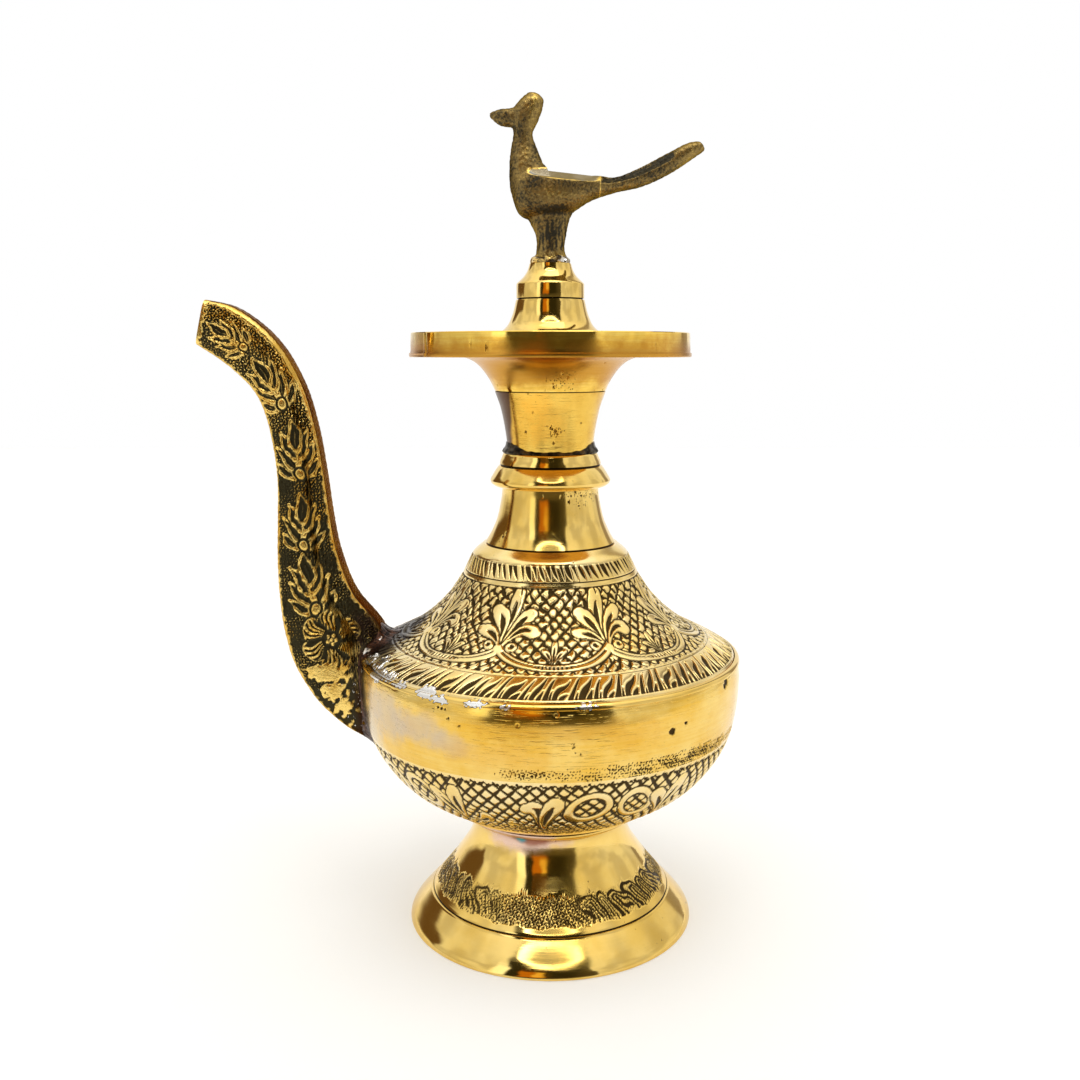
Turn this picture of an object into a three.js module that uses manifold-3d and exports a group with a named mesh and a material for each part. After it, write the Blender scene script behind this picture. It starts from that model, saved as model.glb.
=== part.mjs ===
// A spouted brass water pot: a turned vessel of cast rings brazed one on another, a hollow
// S-curved spout cast in two halves, and a loose bell-shaped lid with a cast bird on top.
// Millimetres, +Z up. The vessel's axis is vertical and the spout points along -X.
import * as THREE from "three";
import { mergeVertices } from "three/addons/utils/BufferGeometryUtils.js";
import Module from "manifold-3d";

const wasm = await Module();
wasm.setup();

// Faces round the axis of every turned piece
const SIDES = 32;

// Clearances: pieces that fit in one another, and pieces cut to another's shape
const FIT = 0.15;
const CUT_GAP = 0.3;

// Foot
const FOOT_RADIUS = 40.9;
const FOOT_HEIGHT = 33;
const FOOT_RIM_HEIGHT = 8.2;
const FOOT_RIM_TOP_RADIUS = 34.9;
const FOOT_RIM_EDGE = 0.8;
const FOOT_GROOVE = 0.5;
const FOOT_WAIST_RADIUS = 22.8;
const FOOT_LIP = 1.1;
const FOOT_WALL = 2.4;

// Lower bowl, whose upper part is the plain belt of the belly
const BELLY_RADIUS = 53.2;
const BOWL_HEIGHT = 44.4;
const BOWL_WALL = 2.2;
const BOWL_FLOOR = 2.6;
const BOWL_ROUNDNESS = 2.2;
const BELT_HEIGHT = 5;
const BOWL_SEAT_LIP = 0.2;
const BOWL_SPIGOT_DEPTH = 3;

// Shoulder
const SHOULDER_HEIGHT = 32;
const SHOULDER_TOP_RADIUS = 18.6;
const SHOULDER_WALL = 2.2;
const SHOULDER_OPENING_RADIUS = 16;
const SHOULDER_SPIGOT_DEPTH = 4;
const SPIGOT_WALL = 1.9;

// Neck
const NECK_HEIGHT = 15.7;
const NECK_ROOT_RADIUS = 18.1;
const NECK_RADIUS = 13.3;
const NECK_BORE_RADIUS = 10;
const NECK_SPIGOT_RADIUS = 12;
const NECK_SPIGOT_DEPTH = 4;
const NECK_SWEEP = 2.3;

// Collar ring round the top of the neck
const COLLAR_HEIGHT = 9.3;
const COLLAR_RADIUS = 16.6;
const COLLAR_EDGE_HEIGHT = 1.6;
const COLLAR_BAND_RADIUS = 14;
const COLLAR_BAND_HEIGHT = 3.3;
const COLLAR_TOP_RADIUS = 12.95;
const COLLAR_GROOVE = 0.3;
const COLLAR_HOLLOW = 0.6;

// Mouth cup
const CUP_HEIGHT = 15.3;
const CUP_FOOT_RADIUS = 11.8;
const CUP_TOP_RADIUS = 15.2;
const CUP_SWEEP = 1.6;
const CUP_WALL = 2.2;
const CUP_SPIGOT_DEPTH = 4.4;

// Saucer-shaped brim of the mouth
const SAUCER_RISE = 9.1;
const SAUCER_RADIUS = 37.9;
const SAUCER_EDGE_HEIGHT = 6.4;
const SAUCER_FLOOR = 2;
const SAUCER_RIM_WALL = 1.9;
const SAUCER_RIM_TAPER = 0.6;
const SAUCER_LIP = 0.4;
const SAUCER_LIP_HEIGHT = 1.3;
const FUNNEL_RADIUS = 24;

// Lid bell, and the ring under it that enters the mouth
const LID_SEAT_CLEARANCE = 0.2;
const BELL_BASE_RADIUS = 27;
const BELL_EDGE = 0.6;
const BELL_FLARE_HEIGHT = 12.9;
const BELL_RADIUS = 9.17;
const BELL_BAND_HEIGHT = 4.4;
const BELL_DOME_HEIGHT = 5.2;
const BELL_TOP_RADIUS = 5.6;
const BELL_WALL = 1.9;
const BELL_GROOVE = 0.3;
const BELL_RECESS_DEPTH = 1.4;
const PLUG_DEPTH = 5;
const PLUG_WALL = 2;
const PLUG_CHAMFER = 0.6;
const PLUG_CLEARANCE = 0.6;

// Bird finial
const BIRD_HEIGHT = 43.8;
const BIRD_LENGTH = 57;
const BIRD_WIDTH = 12.4;
const BIRD_FOOT_RADIUS = 3.9;
const TENON_RADIUS = 2;
const TENON_DEPTH = 5;

// Spout
const SPOUT_REACH = 42;
const SPOUT_HEIGHT = 98.1;
const SPOUT_THICKNESS = 10;
const SPOUT_WALL = 1.8;
const SPOUT_SQUARENESS = 5;
const SPOUT_FLARE = 4;
const SPOUT_FLARE_LENGTH = 2.6;
const PORT_DROP = 11.4;
const PORT_HALF_WIDTH = 3.8;
const PORT_HALF_HEIGHT = 6.5;

// Brazing and solder
const FOOT_BEAD = 1.5;
const SEAM_BEAD = 1.3;
const SEAM_LEDGE = 0.1;
const CUP_SOLDER_HEIGHT = 1.5;
const CUP_SOLDER_RADIUS = 12.4;
const SPOUT_SOLDER_WIDTH = 1.8;
const SPOUT_SOLDER_THICKNESS = 1.5;
const FINIAL_SOLDER_RADIUS = 5.3;
const FINIAL_SOLDER_HEIGHT = 1.8;
const FINIAL_SOLDER_CROWN = 0.8;

// The foot flares out again by its lip where the bowl stands on it
const FOOT_TOP_RADIUS = FOOT_WAIST_RADIUS + FOOT_LIP;

// Heights of the joints above the table
const FOOT_TOP = FOOT_HEIGHT;
const BOWL_TOP = FOOT_TOP + BOWL_HEIGHT;
const SHOULDER_TOP = BOWL_TOP + SHOULDER_HEIGHT;
const NECK_TOP = SHOULDER_TOP + NECK_HEIGHT;
const COLLAR_TOP = NECK_TOP + COLLAR_HEIGHT;
const CUP_BOTTOM = COLLAR_TOP + CUP_SOLDER_HEIGHT;
const CUP_TOP = CUP_BOTTOM + CUP_HEIGHT;
const SAUCER_BOTTOM = CUP_TOP + SAUCER_RISE;
const SAUCER_SEAT = SAUCER_BOTTOM + SAUCER_FLOOR;
const SAUCER_TOP = SAUCER_BOTTOM + SAUCER_EDGE_HEIGHT;
const BELL_BOTTOM = SAUCER_SEAT + LID_SEAT_CLEARANCE;
const BELL_CEILING = BELL_BOTTOM + BELL_RECESS_DEPTH;
const BELL_WAIST = BELL_BOTTOM + BELL_FLARE_HEIGHT;
const BELL_SHOULDER = BELL_WAIST + BELL_BAND_HEIGHT;
const BELL_TOP = BELL_SHOULDER + BELL_DOME_HEIGHT;

// The shoulder stands inside the bowl's rim by the width of its bead and a hair more
const SHOULDER_RADIUS = BELLY_RADIUS - SEAM_BEAD - SEAM_LEDGE;

// The box round the whole pot is centred on the origin, so the vessel's axis stands off it
const AXIS_X = SPOUT_REACH / 2;

const point = (radius, height) => new THREE.Vector2(radius, height);
const { lerp } = THREE.MathUtils;

// A closed geometry as a solid that can be joined and cut
function solid(geometry) {
  const bare = geometry.clone();
  bare.deleteAttribute("normal");
  bare.deleteAttribute("uv");
  const merged = mergeVertices(bare, 1e-4);
  const mesh = new wasm.Mesh({
    numProp: 3,
    vertProperties: merged.attributes.position.array,
    triVerts: new Uint32Array(merged.index.array),
  });
  return new wasm.Manifold(mesh);
}

// A cut or joined solid as a geometry with flat faces
function geometryOf(body) {
  const mesh = body.getMesh();
  const geometry = new THREE.BufferGeometry();
  geometry.setAttribute("position", new THREE.BufferAttribute(mesh.vertProperties, 3));
  geometry.setIndex(new THREE.BufferAttribute(mesh.triVerts, 1));
  const faces = geometry.toNonIndexed();
  faces.computeVertexNormals();
  return faces;
}

// A piece turned round the vertical axis from its outline, given as radius and height
function turned(outline) {
  const profile = [...outline];
  if (THREE.ShapeUtils.area(profile) < 0) profile.reverse();
  const onAxis = profile[0].x === 0 && profile.at(-1).x === 0;
  if (!onAxis) profile.push(profile[0]);
  const geometry = new THREE.LatheGeometry(profile, SIDES);
  geometry.rotateX(Math.PI / 2);
  return geometry;
}

// A smooth flank between two points of an outline. Each pair says how far it has come
// in height and in radius.
function flank(from, to, shares, steps) {
  const points = shares.map(([rise, turn]) => point(lerp(from.x, to.x, turn), lerp(from.y, to.y, rise)));
  return new THREE.SplineCurve(points).getPoints(steps);
}

// A flank that leaves its first point upright and sweeps out to its second
function sweptFlank(upright, wide, sweep, steps) {
  return Array.from({ length: steps + 1 }, (_, i) => {
    const share = i / steps;
    return point(lerp(upright.x, wide.x, share ** sweep), lerp(upright.y, wide.y, share));
  });
}

// The same outline moved sideways, to the left of its own direction
function offset(outline, distance) {
  return outline.map((here, i) => {
    const before = outline[Math.max(i - 1, 0)];
    const after = outline[Math.min(i + 1, outline.length - 1)];
    const along = after.clone().sub(before).normalize();
    return point(here.x - along.y * distance, here.y + along.x * distance);
  });
}

// Radius of an outline that rises all the way, at a height, or at its nearer end
function radiusAt(outline, height) {
  const above = outline.findIndex((p) => p.y >= height);
  if (above < 1) return above < 0 ? outline.at(-1).x : outline[0].x;
  const [low, high] = [outline[above - 1], outline[above]];
  return lerp(low.x, high.x, (height - low.y) / (high.y - low.y));
}

// Foot: a hollow flared cone over a bevelled rim
const FOOT_SHARES = [[0, 0], [0.15, 0.27], [0.34, 0.58], [0.54, 0.88], [0.7, 0.99], [0.84, 0.99], [1, 0.9]];

function footFlank(steps) {
  const rimTop = point(FOOT_RIM_TOP_RADIUS - FOOT_GROOVE, FOOT_RIM_HEIGHT + FOOT_GROOVE);
  const flare = flank(rimTop, point(FOOT_WAIST_RADIUS, FOOT_TOP), FOOT_SHARES, steps);
  flare.at(-1).x = FOOT_TOP_RADIUS;
  return flare;
}

function footInside() {
  const inside = offset(footFlank(4), FOOT_WALL);
  inside.at(-1).set(inside.at(-2).x, FOOT_TOP);
  return inside;
}

// The narrowest place inside the foot is what the bowl's spigot fits
const FOOT_BORE_RADIUS = Math.min(...footInside().map((p) => p.x));

function foot() {
  const rimBulge = point((FOOT_RADIUS + FOOT_RIM_TOP_RADIUS) / 2 + FOOT_RIM_EDGE, FOOT_RIM_HEIGHT / 2);
  const rim = [
    point(FOOT_RADIUS - FOOT_RIM_EDGE - FOOT_WALL, 0),
    point(FOOT_RADIUS - FOOT_RIM_EDGE, 0),
    point(FOOT_RADIUS, FOOT_RIM_EDGE),
    rimBulge,
    point(FOOT_RIM_TOP_RADIUS, FOOT_RIM_HEIGHT),
  ];
  return turned([...rim, ...footFlank(8), ...footInside().reverse()]);
}

// Quarter round of a bead in the corner between a wall and a ledge, upwards or downwards
function quarterRound(corner, size, up) {
  return Array.from({ length: 4 }, (_, i) => {
    const angle = (Math.PI * i) / 6;
    return point(corner.x + size * Math.cos(angle), corner.y + up * size * Math.sin(angle));
  });
}

// Bead of braze in the corner between the foot and the bowl that stands on it
function footBead() {
  const corner = point(FOOT_TOP_RADIUS, FOOT_TOP);
  return turned([corner, ...quarterRound(corner, FOOT_BEAD, -1)]);
}

// Bowl: an oval flank from its seat on the foot to the belt, and the upright belt itself
const BOWL_DEPTH = BOWL_HEIGHT - BELT_HEIGHT;
const BOWL_WIDEST = BOWL_TOP - BELT_HEIGHT;
const BOWL_SEAT_RADIUS = FOOT_TOP_RADIUS + BOWL_SEAT_LIP;
const BOWL_SEAT_SHARE = (BOWL_SEAT_RADIUS / BELLY_RADIUS) ** BOWL_ROUNDNESS;
const BOWL_OVAL = BOWL_DEPTH / (1 - BOWL_SEAT_SHARE) ** (1 / BOWL_ROUNDNESS);

function bowlFlank(radius, oval, depth, steps) {
  const lowest = Math.asin((depth / oval) ** (BOWL_ROUNDNESS / 2));
  return Array.from({ length: steps + 1 }, (_, i) => {
    const angle = lowest * (1 - i / steps);
    const out = Math.cos(angle) ** (2 / BOWL_ROUNDNESS);
    const down = Math.sin(angle) ** (2 / BOWL_ROUNDNESS);
    return point(radius * out, BOWL_WIDEST - oval * down);
  });
}

const bowlOutside = () => bowlFlank(BELLY_RADIUS, BOWL_OVAL, BOWL_DEPTH, 10);

function bowl() {
  const inRadius = BELLY_RADIUS - BOWL_WALL;
  const inside = bowlFlank(inRadius, BOWL_OVAL - BOWL_FLOOR, BOWL_DEPTH - BOWL_FLOOR, 6);
  const spigot = FOOT_BORE_RADIUS - FIT;
  const outline = [
    point(0, FOOT_TOP),
    point(spigot - SPIGOT_WALL, FOOT_TOP),
    point(spigot - SPIGOT_WALL, FOOT_TOP - BOWL_SPIGOT_DEPTH),
    point(spigot, FOOT_TOP - BOWL_SPIGOT_DEPTH),
    point(spigot, FOOT_TOP),
    ...bowlOutside(),
    point(BELLY_RADIUS, BOWL_TOP),
    point(inRadius, BOWL_TOP),
    ...inside.reverse(),
    point(0, FOOT_TOP + BOWL_FLOOR),
  ];
  const port = new THREE.CylinderGeometry(1, 1, 2 * BOWL_WALL + SPOUT_REACH / 2, 20);
  port.rotateZ(Math.PI / 2);
  port.scale(1, PORT_HALF_WIDTH, PORT_HALF_HEIGHT);
  port.translate(-BELLY_RADIUS, 0, BOWL_TOP - PORT_DROP);
  return geometryOf(solid(turned(outline)).subtract(solid(port)));
}

// Rounded bead on the bowl's rim, against the foot of the shoulder
const SEAM_CORNER = point(SHOULDER_RADIUS, BOWL_TOP);
const seamOutline = () => quarterRound(SEAM_CORNER, SEAM_BEAD, 1);
const seamBead = () => turned([SEAM_CORNER, ...seamOutline()]);

// Shoulder: a convex edge that turns into a long concave cone
const SHOULDER_SHARES = [
  [0, 0],
  [0.05, 0.02],
  [0.12, 0.13],
  [0.2, 0.27],
  [0.27, 0.4],
  [0.37, 0.525],
  [0.5, 0.66],
  [0.65, 0.766],
  [0.83, 0.862],
  [0.94, 0.92],
  [1, 1],
];

function shoulderFlank(steps) {
  const foot = point(SHOULDER_RADIUS, BOWL_TOP);
  return flank(foot, point(SHOULDER_TOP_RADIUS, SHOULDER_TOP), SHOULDER_SHARES, steps);
}

function shoulder() {
  const spigot = BELLY_RADIUS - BOWL_WALL - FIT;
  const inside = offset(shoulderFlank(5), SHOULDER_WALL);
  inside[0].set(spigot - SPIGOT_WALL, BOWL_TOP);
  inside.at(-1).set(SHOULDER_OPENING_RADIUS, SHOULDER_TOP);
  return turned([
    point(spigot - SPIGOT_WALL, BOWL_TOP - SHOULDER_SPIGOT_DEPTH),
    point(spigot, BOWL_TOP - SHOULDER_SPIGOT_DEPTH),
    point(spigot, BOWL_TOP),
    ...shoulderFlank(11),
    ...inside.reverse(),
  ]);
}

// Neck: a trumpet that opens downwards, with a spigot at each end
function neck() {
  const [root, top] = [point(NECK_ROOT_RADIUS, SHOULDER_TOP), point(NECK_RADIUS, NECK_TOP)];
  const inTop = point(NECK_BORE_RADIUS, NECK_TOP);
  const spigot = SHOULDER_OPENING_RADIUS - FIT;
  const inRoot = point(spigot - SPIGOT_WALL, SHOULDER_TOP);
  return turned([
    point(spigot - SPIGOT_WALL, SHOULDER_TOP - NECK_SPIGOT_DEPTH),
    point(spigot, SHOULDER_TOP - NECK_SPIGOT_DEPTH),
    point(spigot, SHOULDER_TOP),
    ...sweptFlank(top, root, NECK_SWEEP, 7).reverse(),
    point(NECK_SPIGOT_RADIUS, NECK_TOP),
    point(NECK_SPIGOT_RADIUS, COLLAR_TOP),
    point(NECK_BORE_RADIUS, COLLAR_TOP),
    ...sweptFlank(inTop, inRoot, NECK_SWEEP, 4),
  ]);
}

// Collar: a thrown ring with a sharp edge, a bevel, a groove and a plain band
function collar() {
  const bore = NECK_SPIGOT_RADIUS + FIT;
  const bandFoot = COLLAR_TOP - COLLAR_BAND_HEIGHT;
  return turned([
    point(bore, NECK_TOP),
    point((NECK_RADIUS + COLLAR_RADIUS) / 2, NECK_TOP),
    point(COLLAR_RADIUS - COLLAR_GROOVE, NECK_TOP + COLLAR_EDGE_HEIGHT / 2),
    point(COLLAR_RADIUS, NECK_TOP + COLLAR_EDGE_HEIGHT),
    point((COLLAR_RADIUS + COLLAR_BAND_RADIUS) / 2, lerp(NECK_TOP + COLLAR_EDGE_HEIGHT, bandFoot, COLLAR_HOLLOW)),
    point(COLLAR_BAND_RADIUS + COLLAR_GROOVE, bandFoot - COLLAR_GROOVE),
    point(COLLAR_BAND_RADIUS - COLLAR_GROOVE, bandFoot),
    point(COLLAR_BAND_RADIUS, bandFoot + COLLAR_GROOVE),
    point(COLLAR_TOP_RADIUS, COLLAR_TOP),
    point(bore, COLLAR_TOP),
  ]);
}

// Dark ring of solder that the cup stands on
function cupSolder() {
  const middle = COLLAR_TOP + CUP_SOLDER_HEIGHT / 2;
  return turned([
    point(NECK_BORE_RADIUS, COLLAR_TOP),
    point(CUP_SOLDER_RADIUS - FIT, COLLAR_TOP),
    point(CUP_SOLDER_RADIUS, middle),
    point(CUP_SOLDER_RADIUS - 2 * FIT, CUP_BOTTOM),
    point(NECK_BORE_RADIUS, CUP_BOTTOM),
  ]);
}

// Mouth cup: a tall flared cup with a spigot in the neck
function cup() {
  const spigot = NECK_BORE_RADIUS - FIT;
  const mouth = point(CUP_TOP_RADIUS - CUP_WALL, CUP_TOP);
  return turned([
    point(spigot - SPIGOT_WALL, CUP_BOTTOM - CUP_SPIGOT_DEPTH),
    point(spigot, CUP_BOTTOM - CUP_SPIGOT_DEPTH),
    point(spigot, CUP_BOTTOM),
    ...sweptFlank(point(CUP_FOOT_RADIUS, CUP_BOTTOM), point(CUP_TOP_RADIUS, CUP_TOP), CUP_SWEEP, 7),
    ...sweptFlank(point(spigot - SPIGOT_WALL, CUP_BOTTOM), mouth, CUP_SWEEP, 3).reverse(),
  ]);
}

// Saucer: the flare above the cup runs out into a flat floor with an upright rim
const FUNNEL_SHARES = [[0, 0], [0.35, 0.18], [0.7, 0.42], [0.9, 0.63], [1, 1]];

function funnelFlank(steps) {
  const foot = point(CUP_TOP_RADIUS, CUP_TOP);
  return flank(foot, point(FUNNEL_RADIUS, SAUCER_BOTTOM), FUNNEL_SHARES, steps);
}

function funnelInside() {
  const inside = offset(funnelFlank(5), SAUCER_FLOOR);
  inside[0].set(CUP_TOP_RADIUS - CUP_WALL, CUP_TOP);
  inside.at(-1).y = SAUCER_SEAT;
  return inside;
}

function saucer() {
  const rimTop = SAUCER_RADIUS - SAUCER_RIM_TAPER;
  const rimInside = SAUCER_RADIUS - SAUCER_RIM_WALL;
  return turned([
    ...funnelFlank(6),
    point(SAUCER_RADIUS + SAUCER_LIP, SAUCER_BOTTOM),
    point(SAUCER_RADIUS + SAUCER_LIP, SAUCER_BOTTOM + SAUCER_LIP_HEIGHT),
    point(SAUCER_RADIUS, SAUCER_BOTTOM + SAUCER_LIP_HEIGHT + SAUCER_LIP),
    point(rimTop, SAUCER_TOP),
    point(rimTop - SAUCER_RIM_WALL, SAUCER_TOP),
    point(rimInside, SAUCER_SEAT + SAUCER_FLOOR / 2),
    point(rimInside - SAUCER_FLOOR / 2, SAUCER_SEAT),
    ...funnelInside().reverse(),
  ]);
}

// Lid bell: a wide flare, a plain band above a fine groove, and a small hollow dome
const BELL_SHARES = [[0, 0], [0.07, 0.42], [0.2, 0.66], [0.38, 0.84], [0.6, 0.92], [0.82, 0.965], [1, 1]];
const BELL_INSIDE_SHARES = [[0, 0], [0.35, 0.65], [0.65, 0.92], [1, 1]];
const BELL_DOME_SHARES = [[0, 0], [0.1, 0.12], [0.38, 0.52], [0.69, 0.83], [1, 1]];

const PLUG_BOTTOM = BELL_BOTTOM - PLUG_DEPTH;
const PLUG_RADIUS = radiusAt(funnelInside(), PLUG_BOTTOM) - PLUG_CLEARANCE;

function bell() {
  const waist = point(BELL_RADIUS, BELL_WAIST);
  const inWaist = point(BELL_RADIUS - BELL_WALL, BELL_WAIST);
  const bore = TENON_RADIUS + FIT;
  const recess = PLUG_RADIUS + FIT;
  const inFlare = flank(point(PLUG_RADIUS - PLUG_WALL, BELL_CEILING), inWaist, BELL_INSIDE_SHARES, 3);
  return turned([
    point(recess, BELL_BOTTOM),
    point(BELL_BASE_RADIUS, BELL_BOTTOM),
    ...flank(point(BELL_BASE_RADIUS, BELL_BOTTOM + BELL_EDGE), waist, BELL_SHARES, 7),
    point(BELL_RADIUS - BELL_GROOVE, BELL_WAIST + BELL_GROOVE),
    point(BELL_RADIUS, BELL_WAIST + 2 * BELL_GROOVE),
    ...flank(point(BELL_RADIUS, BELL_SHOULDER), point(BELL_TOP_RADIUS, BELL_TOP), BELL_DOME_SHARES, 4),
    point(bore, BELL_TOP),
    point(bore, BELL_SHOULDER),
    point(BELL_RADIUS - BELL_WALL, BELL_SHOULDER - BELL_WALL),
    ...inFlare.reverse(),
    point(recess, BELL_CEILING),
  ]);
}

// Ring brazed into the bell's recess, which centres the lid in the mouth
function locatingRing() {
  const inside = PLUG_RADIUS - PLUG_WALL;
  return turned([
    point(inside, PLUG_BOTTOM),
    point(PLUG_RADIUS - PLUG_CHAMFER, PLUG_BOTTOM),
    point(PLUG_RADIUS, PLUG_BOTTOM + PLUG_CHAMFER),
    point(PLUG_RADIUS, BELL_CEILING),
    point(inside, BELL_CEILING),
  ]);
}

// Lump of solder round the bird's foot
function finialSolder() {
  const inside = BIRD_FOOT_RADIUS + FIT;
  return turned([
    point(inside, BELL_TOP),
    point(FINIAL_SOLDER_RADIUS, BELL_TOP),
    point(FINIAL_SOLDER_RADIUS, BELL_TOP + FINIAL_SOLDER_HEIGHT / 3),
    point(lerp(inside, FINIAL_SOLDER_RADIUS, 2 / 3), BELL_TOP + FINIAL_SOLDER_HEIGHT * FINIAL_SOLDER_CROWN),
    point(inside, BELL_TOP + FINIAL_SOLDER_HEIGHT),
  ]);
}

// Lofted forms that are symmetric about the plane y = 0. Each row has a point on one edge,
// a point on the other, and the half thickness there: [x, z, x, z, half thickness].
function smoothRows(rows, steps) {
  const curve = (i, j) =>
    new THREE.CatmullRomCurve3(rows.map((row) => new THREE.Vector3(row[i], row[4], row[j])));
  const [first, second] = [curve(0, 1), curve(2, 3)];
  return Array.from({ length: steps + 1 }, (_, k) => [first.getPoint(k / steps), second.getPoint(k / steps)]);
}

// Sections across the rows as rounded rectangles, grown by a distance and then capped
function loft(rows, { steps, sides, squareness, grow = 0, flare = () => 0 }) {
  const sections = smoothRows(rows, steps).map(([first, second]) => {
    const middle = first.clone().add(second).multiplyScalar(0.5);
    const across = second.clone().sub(first).setY(0).multiplyScalar(0.5);
    const half = across.length();
    const wide = (half + grow) / half;
    return Array.from({ length: sides }, (_, i) => {
      const angle = (2 * Math.PI * i) / sides;
      const power = (value) => Math.sign(value) * Math.abs(value) ** (2 / squareness);
      const share = power(Math.cos(angle));
      const inner = middle.clone().addScaledVector(across, share);
      const at = middle.clone().addScaledVector(across, wide * share);
      const spread = Math.max(flare(inner), flare(at)) * Math.max(1 - share ** 4, 0);
      at.y = power(Math.sin(angle)) * (middle.y + grow + spread);
      return at;
    });
  });
  return skin(sections);
}

// A closed skin over a row of sections, with flat ends
function skin(sections) {
  const sides = sections[0].length;
  const centre = (ring) => ring.reduce((sum, p) => sum.add(p), new THREE.Vector3()).divideScalar(sides);
  const points = [...sections.flat(), centre(sections[0]), centre(sections.at(-1))];
  const index = [];
  for (let row = 0; row < sections.length - 1; row++) {
    for (let i = 0; i < sides; i++) {
      const [a, b] = [row * sides + i, row * sides + ((i + 1) % sides)];
      index.push(a, b, a + sides, b, b + sides, a + sides);
    }
  }
  const last = (sections.length - 1) * sides;
  for (let i = 0; i < sides; i++) {
    const next = (i + 1) % sides;
    index.push(points.length - 2, next, i, points.length - 1, last + i, last + next);
  }
  const geometry = new THREE.BufferGeometry().setFromPoints(points);
  geometry.setIndex(index);
  const made = solid(geometry);
  if (made.volume() > 0) return made;
  geometry.setIndex(index.reverse());
  return solid(geometry);
}

// Spout rows from the outlet down to the root. They are drawn from the belly's side at the
// height of the bowl's rim: [out, up] of the outer edge, [out, up] of the inner edge, thickness.
const SPOUT_ROWS = [
  [42, 86.1, 39.2, 98.1, 9.4],
  [37.8, 83.4, 32.6, 96.6, 9.6],
  [32.3, 79.2, 24.8, 91.6, 9.8],
  [27.4, 74.1, 19, 85.2, 10],
  [24.4, 67.6, 14, 75.6, 10],
  [22.6, 58.6, 11, 65.1, 10],
  [21.8, 49.6, 9, 52.6, 10.2],
  [22.1, 39.6, 7.6, 40.6, 10.6],
  [22.6, 27.6, 5.7, 29.4, 11.2],
  [22.4, 17.1, 1.6, 18.1, 11.8],
  [21.1, 5.6, -6.2, 7.6, 12.4],
  [17.6, -5.1, -9.2, -5.1, 12.8],
  [10.3, -15.6, -9.2, -13.9, 12.8],
  [2.3, -22, -9.2, -18.4, 12.4],
  [-4.2, -24.8, -10.2, -20.4, 11.6],
  [-10, -25.6, -13, -22, 11.2],
];
const SPOUT_DRAWN = { reach: SPOUT_ROWS[0][0], height: SPOUT_ROWS[0][3], thickness: SPOUT_ROWS[3][4] };

function spoutRows() {
  const out = (value) => -BELLY_RADIUS - (value * SPOUT_REACH) / SPOUT_DRAWN.reach;
  const up = (value) => BOWL_TOP + (value * SPOUT_HEIGHT) / SPOUT_DRAWN.height;
  const half = (value) => (value * SPOUT_THICKNESS) / SPOUT_DRAWN.thickness / 2;
  return SPOUT_ROWS.map(([a, b, c, d, t]) => [out(a), up(b), out(c), up(d), half(t)]);
}

// Outside of the bowl, the seam and the shoulder in one rising outline
const VESSEL = [
  ...bowlOutside(),
  ...seamOutline(),
  ...shoulderFlank(11).filter((p) => p.y > BOWL_TOP + SEAM_BEAD),
];

// The vessel as one solid lump, grown by a distance, to cut what stands against it
function vesselLump(grow) {
  const outside = offset(VESSEL, -grow);
  return solid(turned([point(0, outside[0].y), ...outside, point(0, outside.at(-1).y)]));
}

// The spout's sides widen where they come near the vessel
function rootFlare(at) {
  const gap = Math.max(-at.x - radiusAt(VESSEL, at.z), -SPOUT_WALL);
  return SPOUT_FLARE * Math.exp(-gap / SPOUT_FLARE_LENGTH);
}

const SPOUT_FORM = { steps: 26, sides: 16, squareness: SPOUT_SQUARENESS };

function spoutHalves() {
  const rows = spoutRows();
  const beyond = rows[0].map((value, i) => (i < 4 ? value + (value - rows[1][i]) / 2 : value));
  const skinOutside = loft(rows, { ...SPOUT_FORM, flare: rootFlare });
  const channel = loft([beyond, ...rows], { ...SPOUT_FORM, grow: -SPOUT_WALL });
  const hollow = skinOutside.subtract(channel).subtract(vesselLump(CUT_GAP));
  const block = new THREE.BoxGeometry(2 * SPOUT_HEIGHT, SPOUT_HEIGHT, 4 * SPOUT_HEIGHT);
  const side = (y) => solid(block.clone().translate(-BELLY_RADIUS, y, BOWL_TOP));
  return [-1, 1].map((sign) => geometryOf(hollow.intersect(side((sign * SPOUT_HEIGHT) / 2))));
}

// Fillet of solder that follows the spout's root round the vessel
function spoutSolder() {
  const rows = spoutRows();
  const form = { ...SPOUT_FORM, flare: rootFlare };
  const outside = loft(rows, { ...form, grow: CUT_GAP + SPOUT_SOLDER_WIDTH });
  const band = outside.subtract(loft(rows, { ...form, grow: CUT_GAP }));
  const reach = band.intersect(vesselLump(CUT_GAP + SPOUT_SOLDER_THICKNESS));
  return geometryOf(reach.subtract(vesselLump(CUT_GAP)));
}

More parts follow.
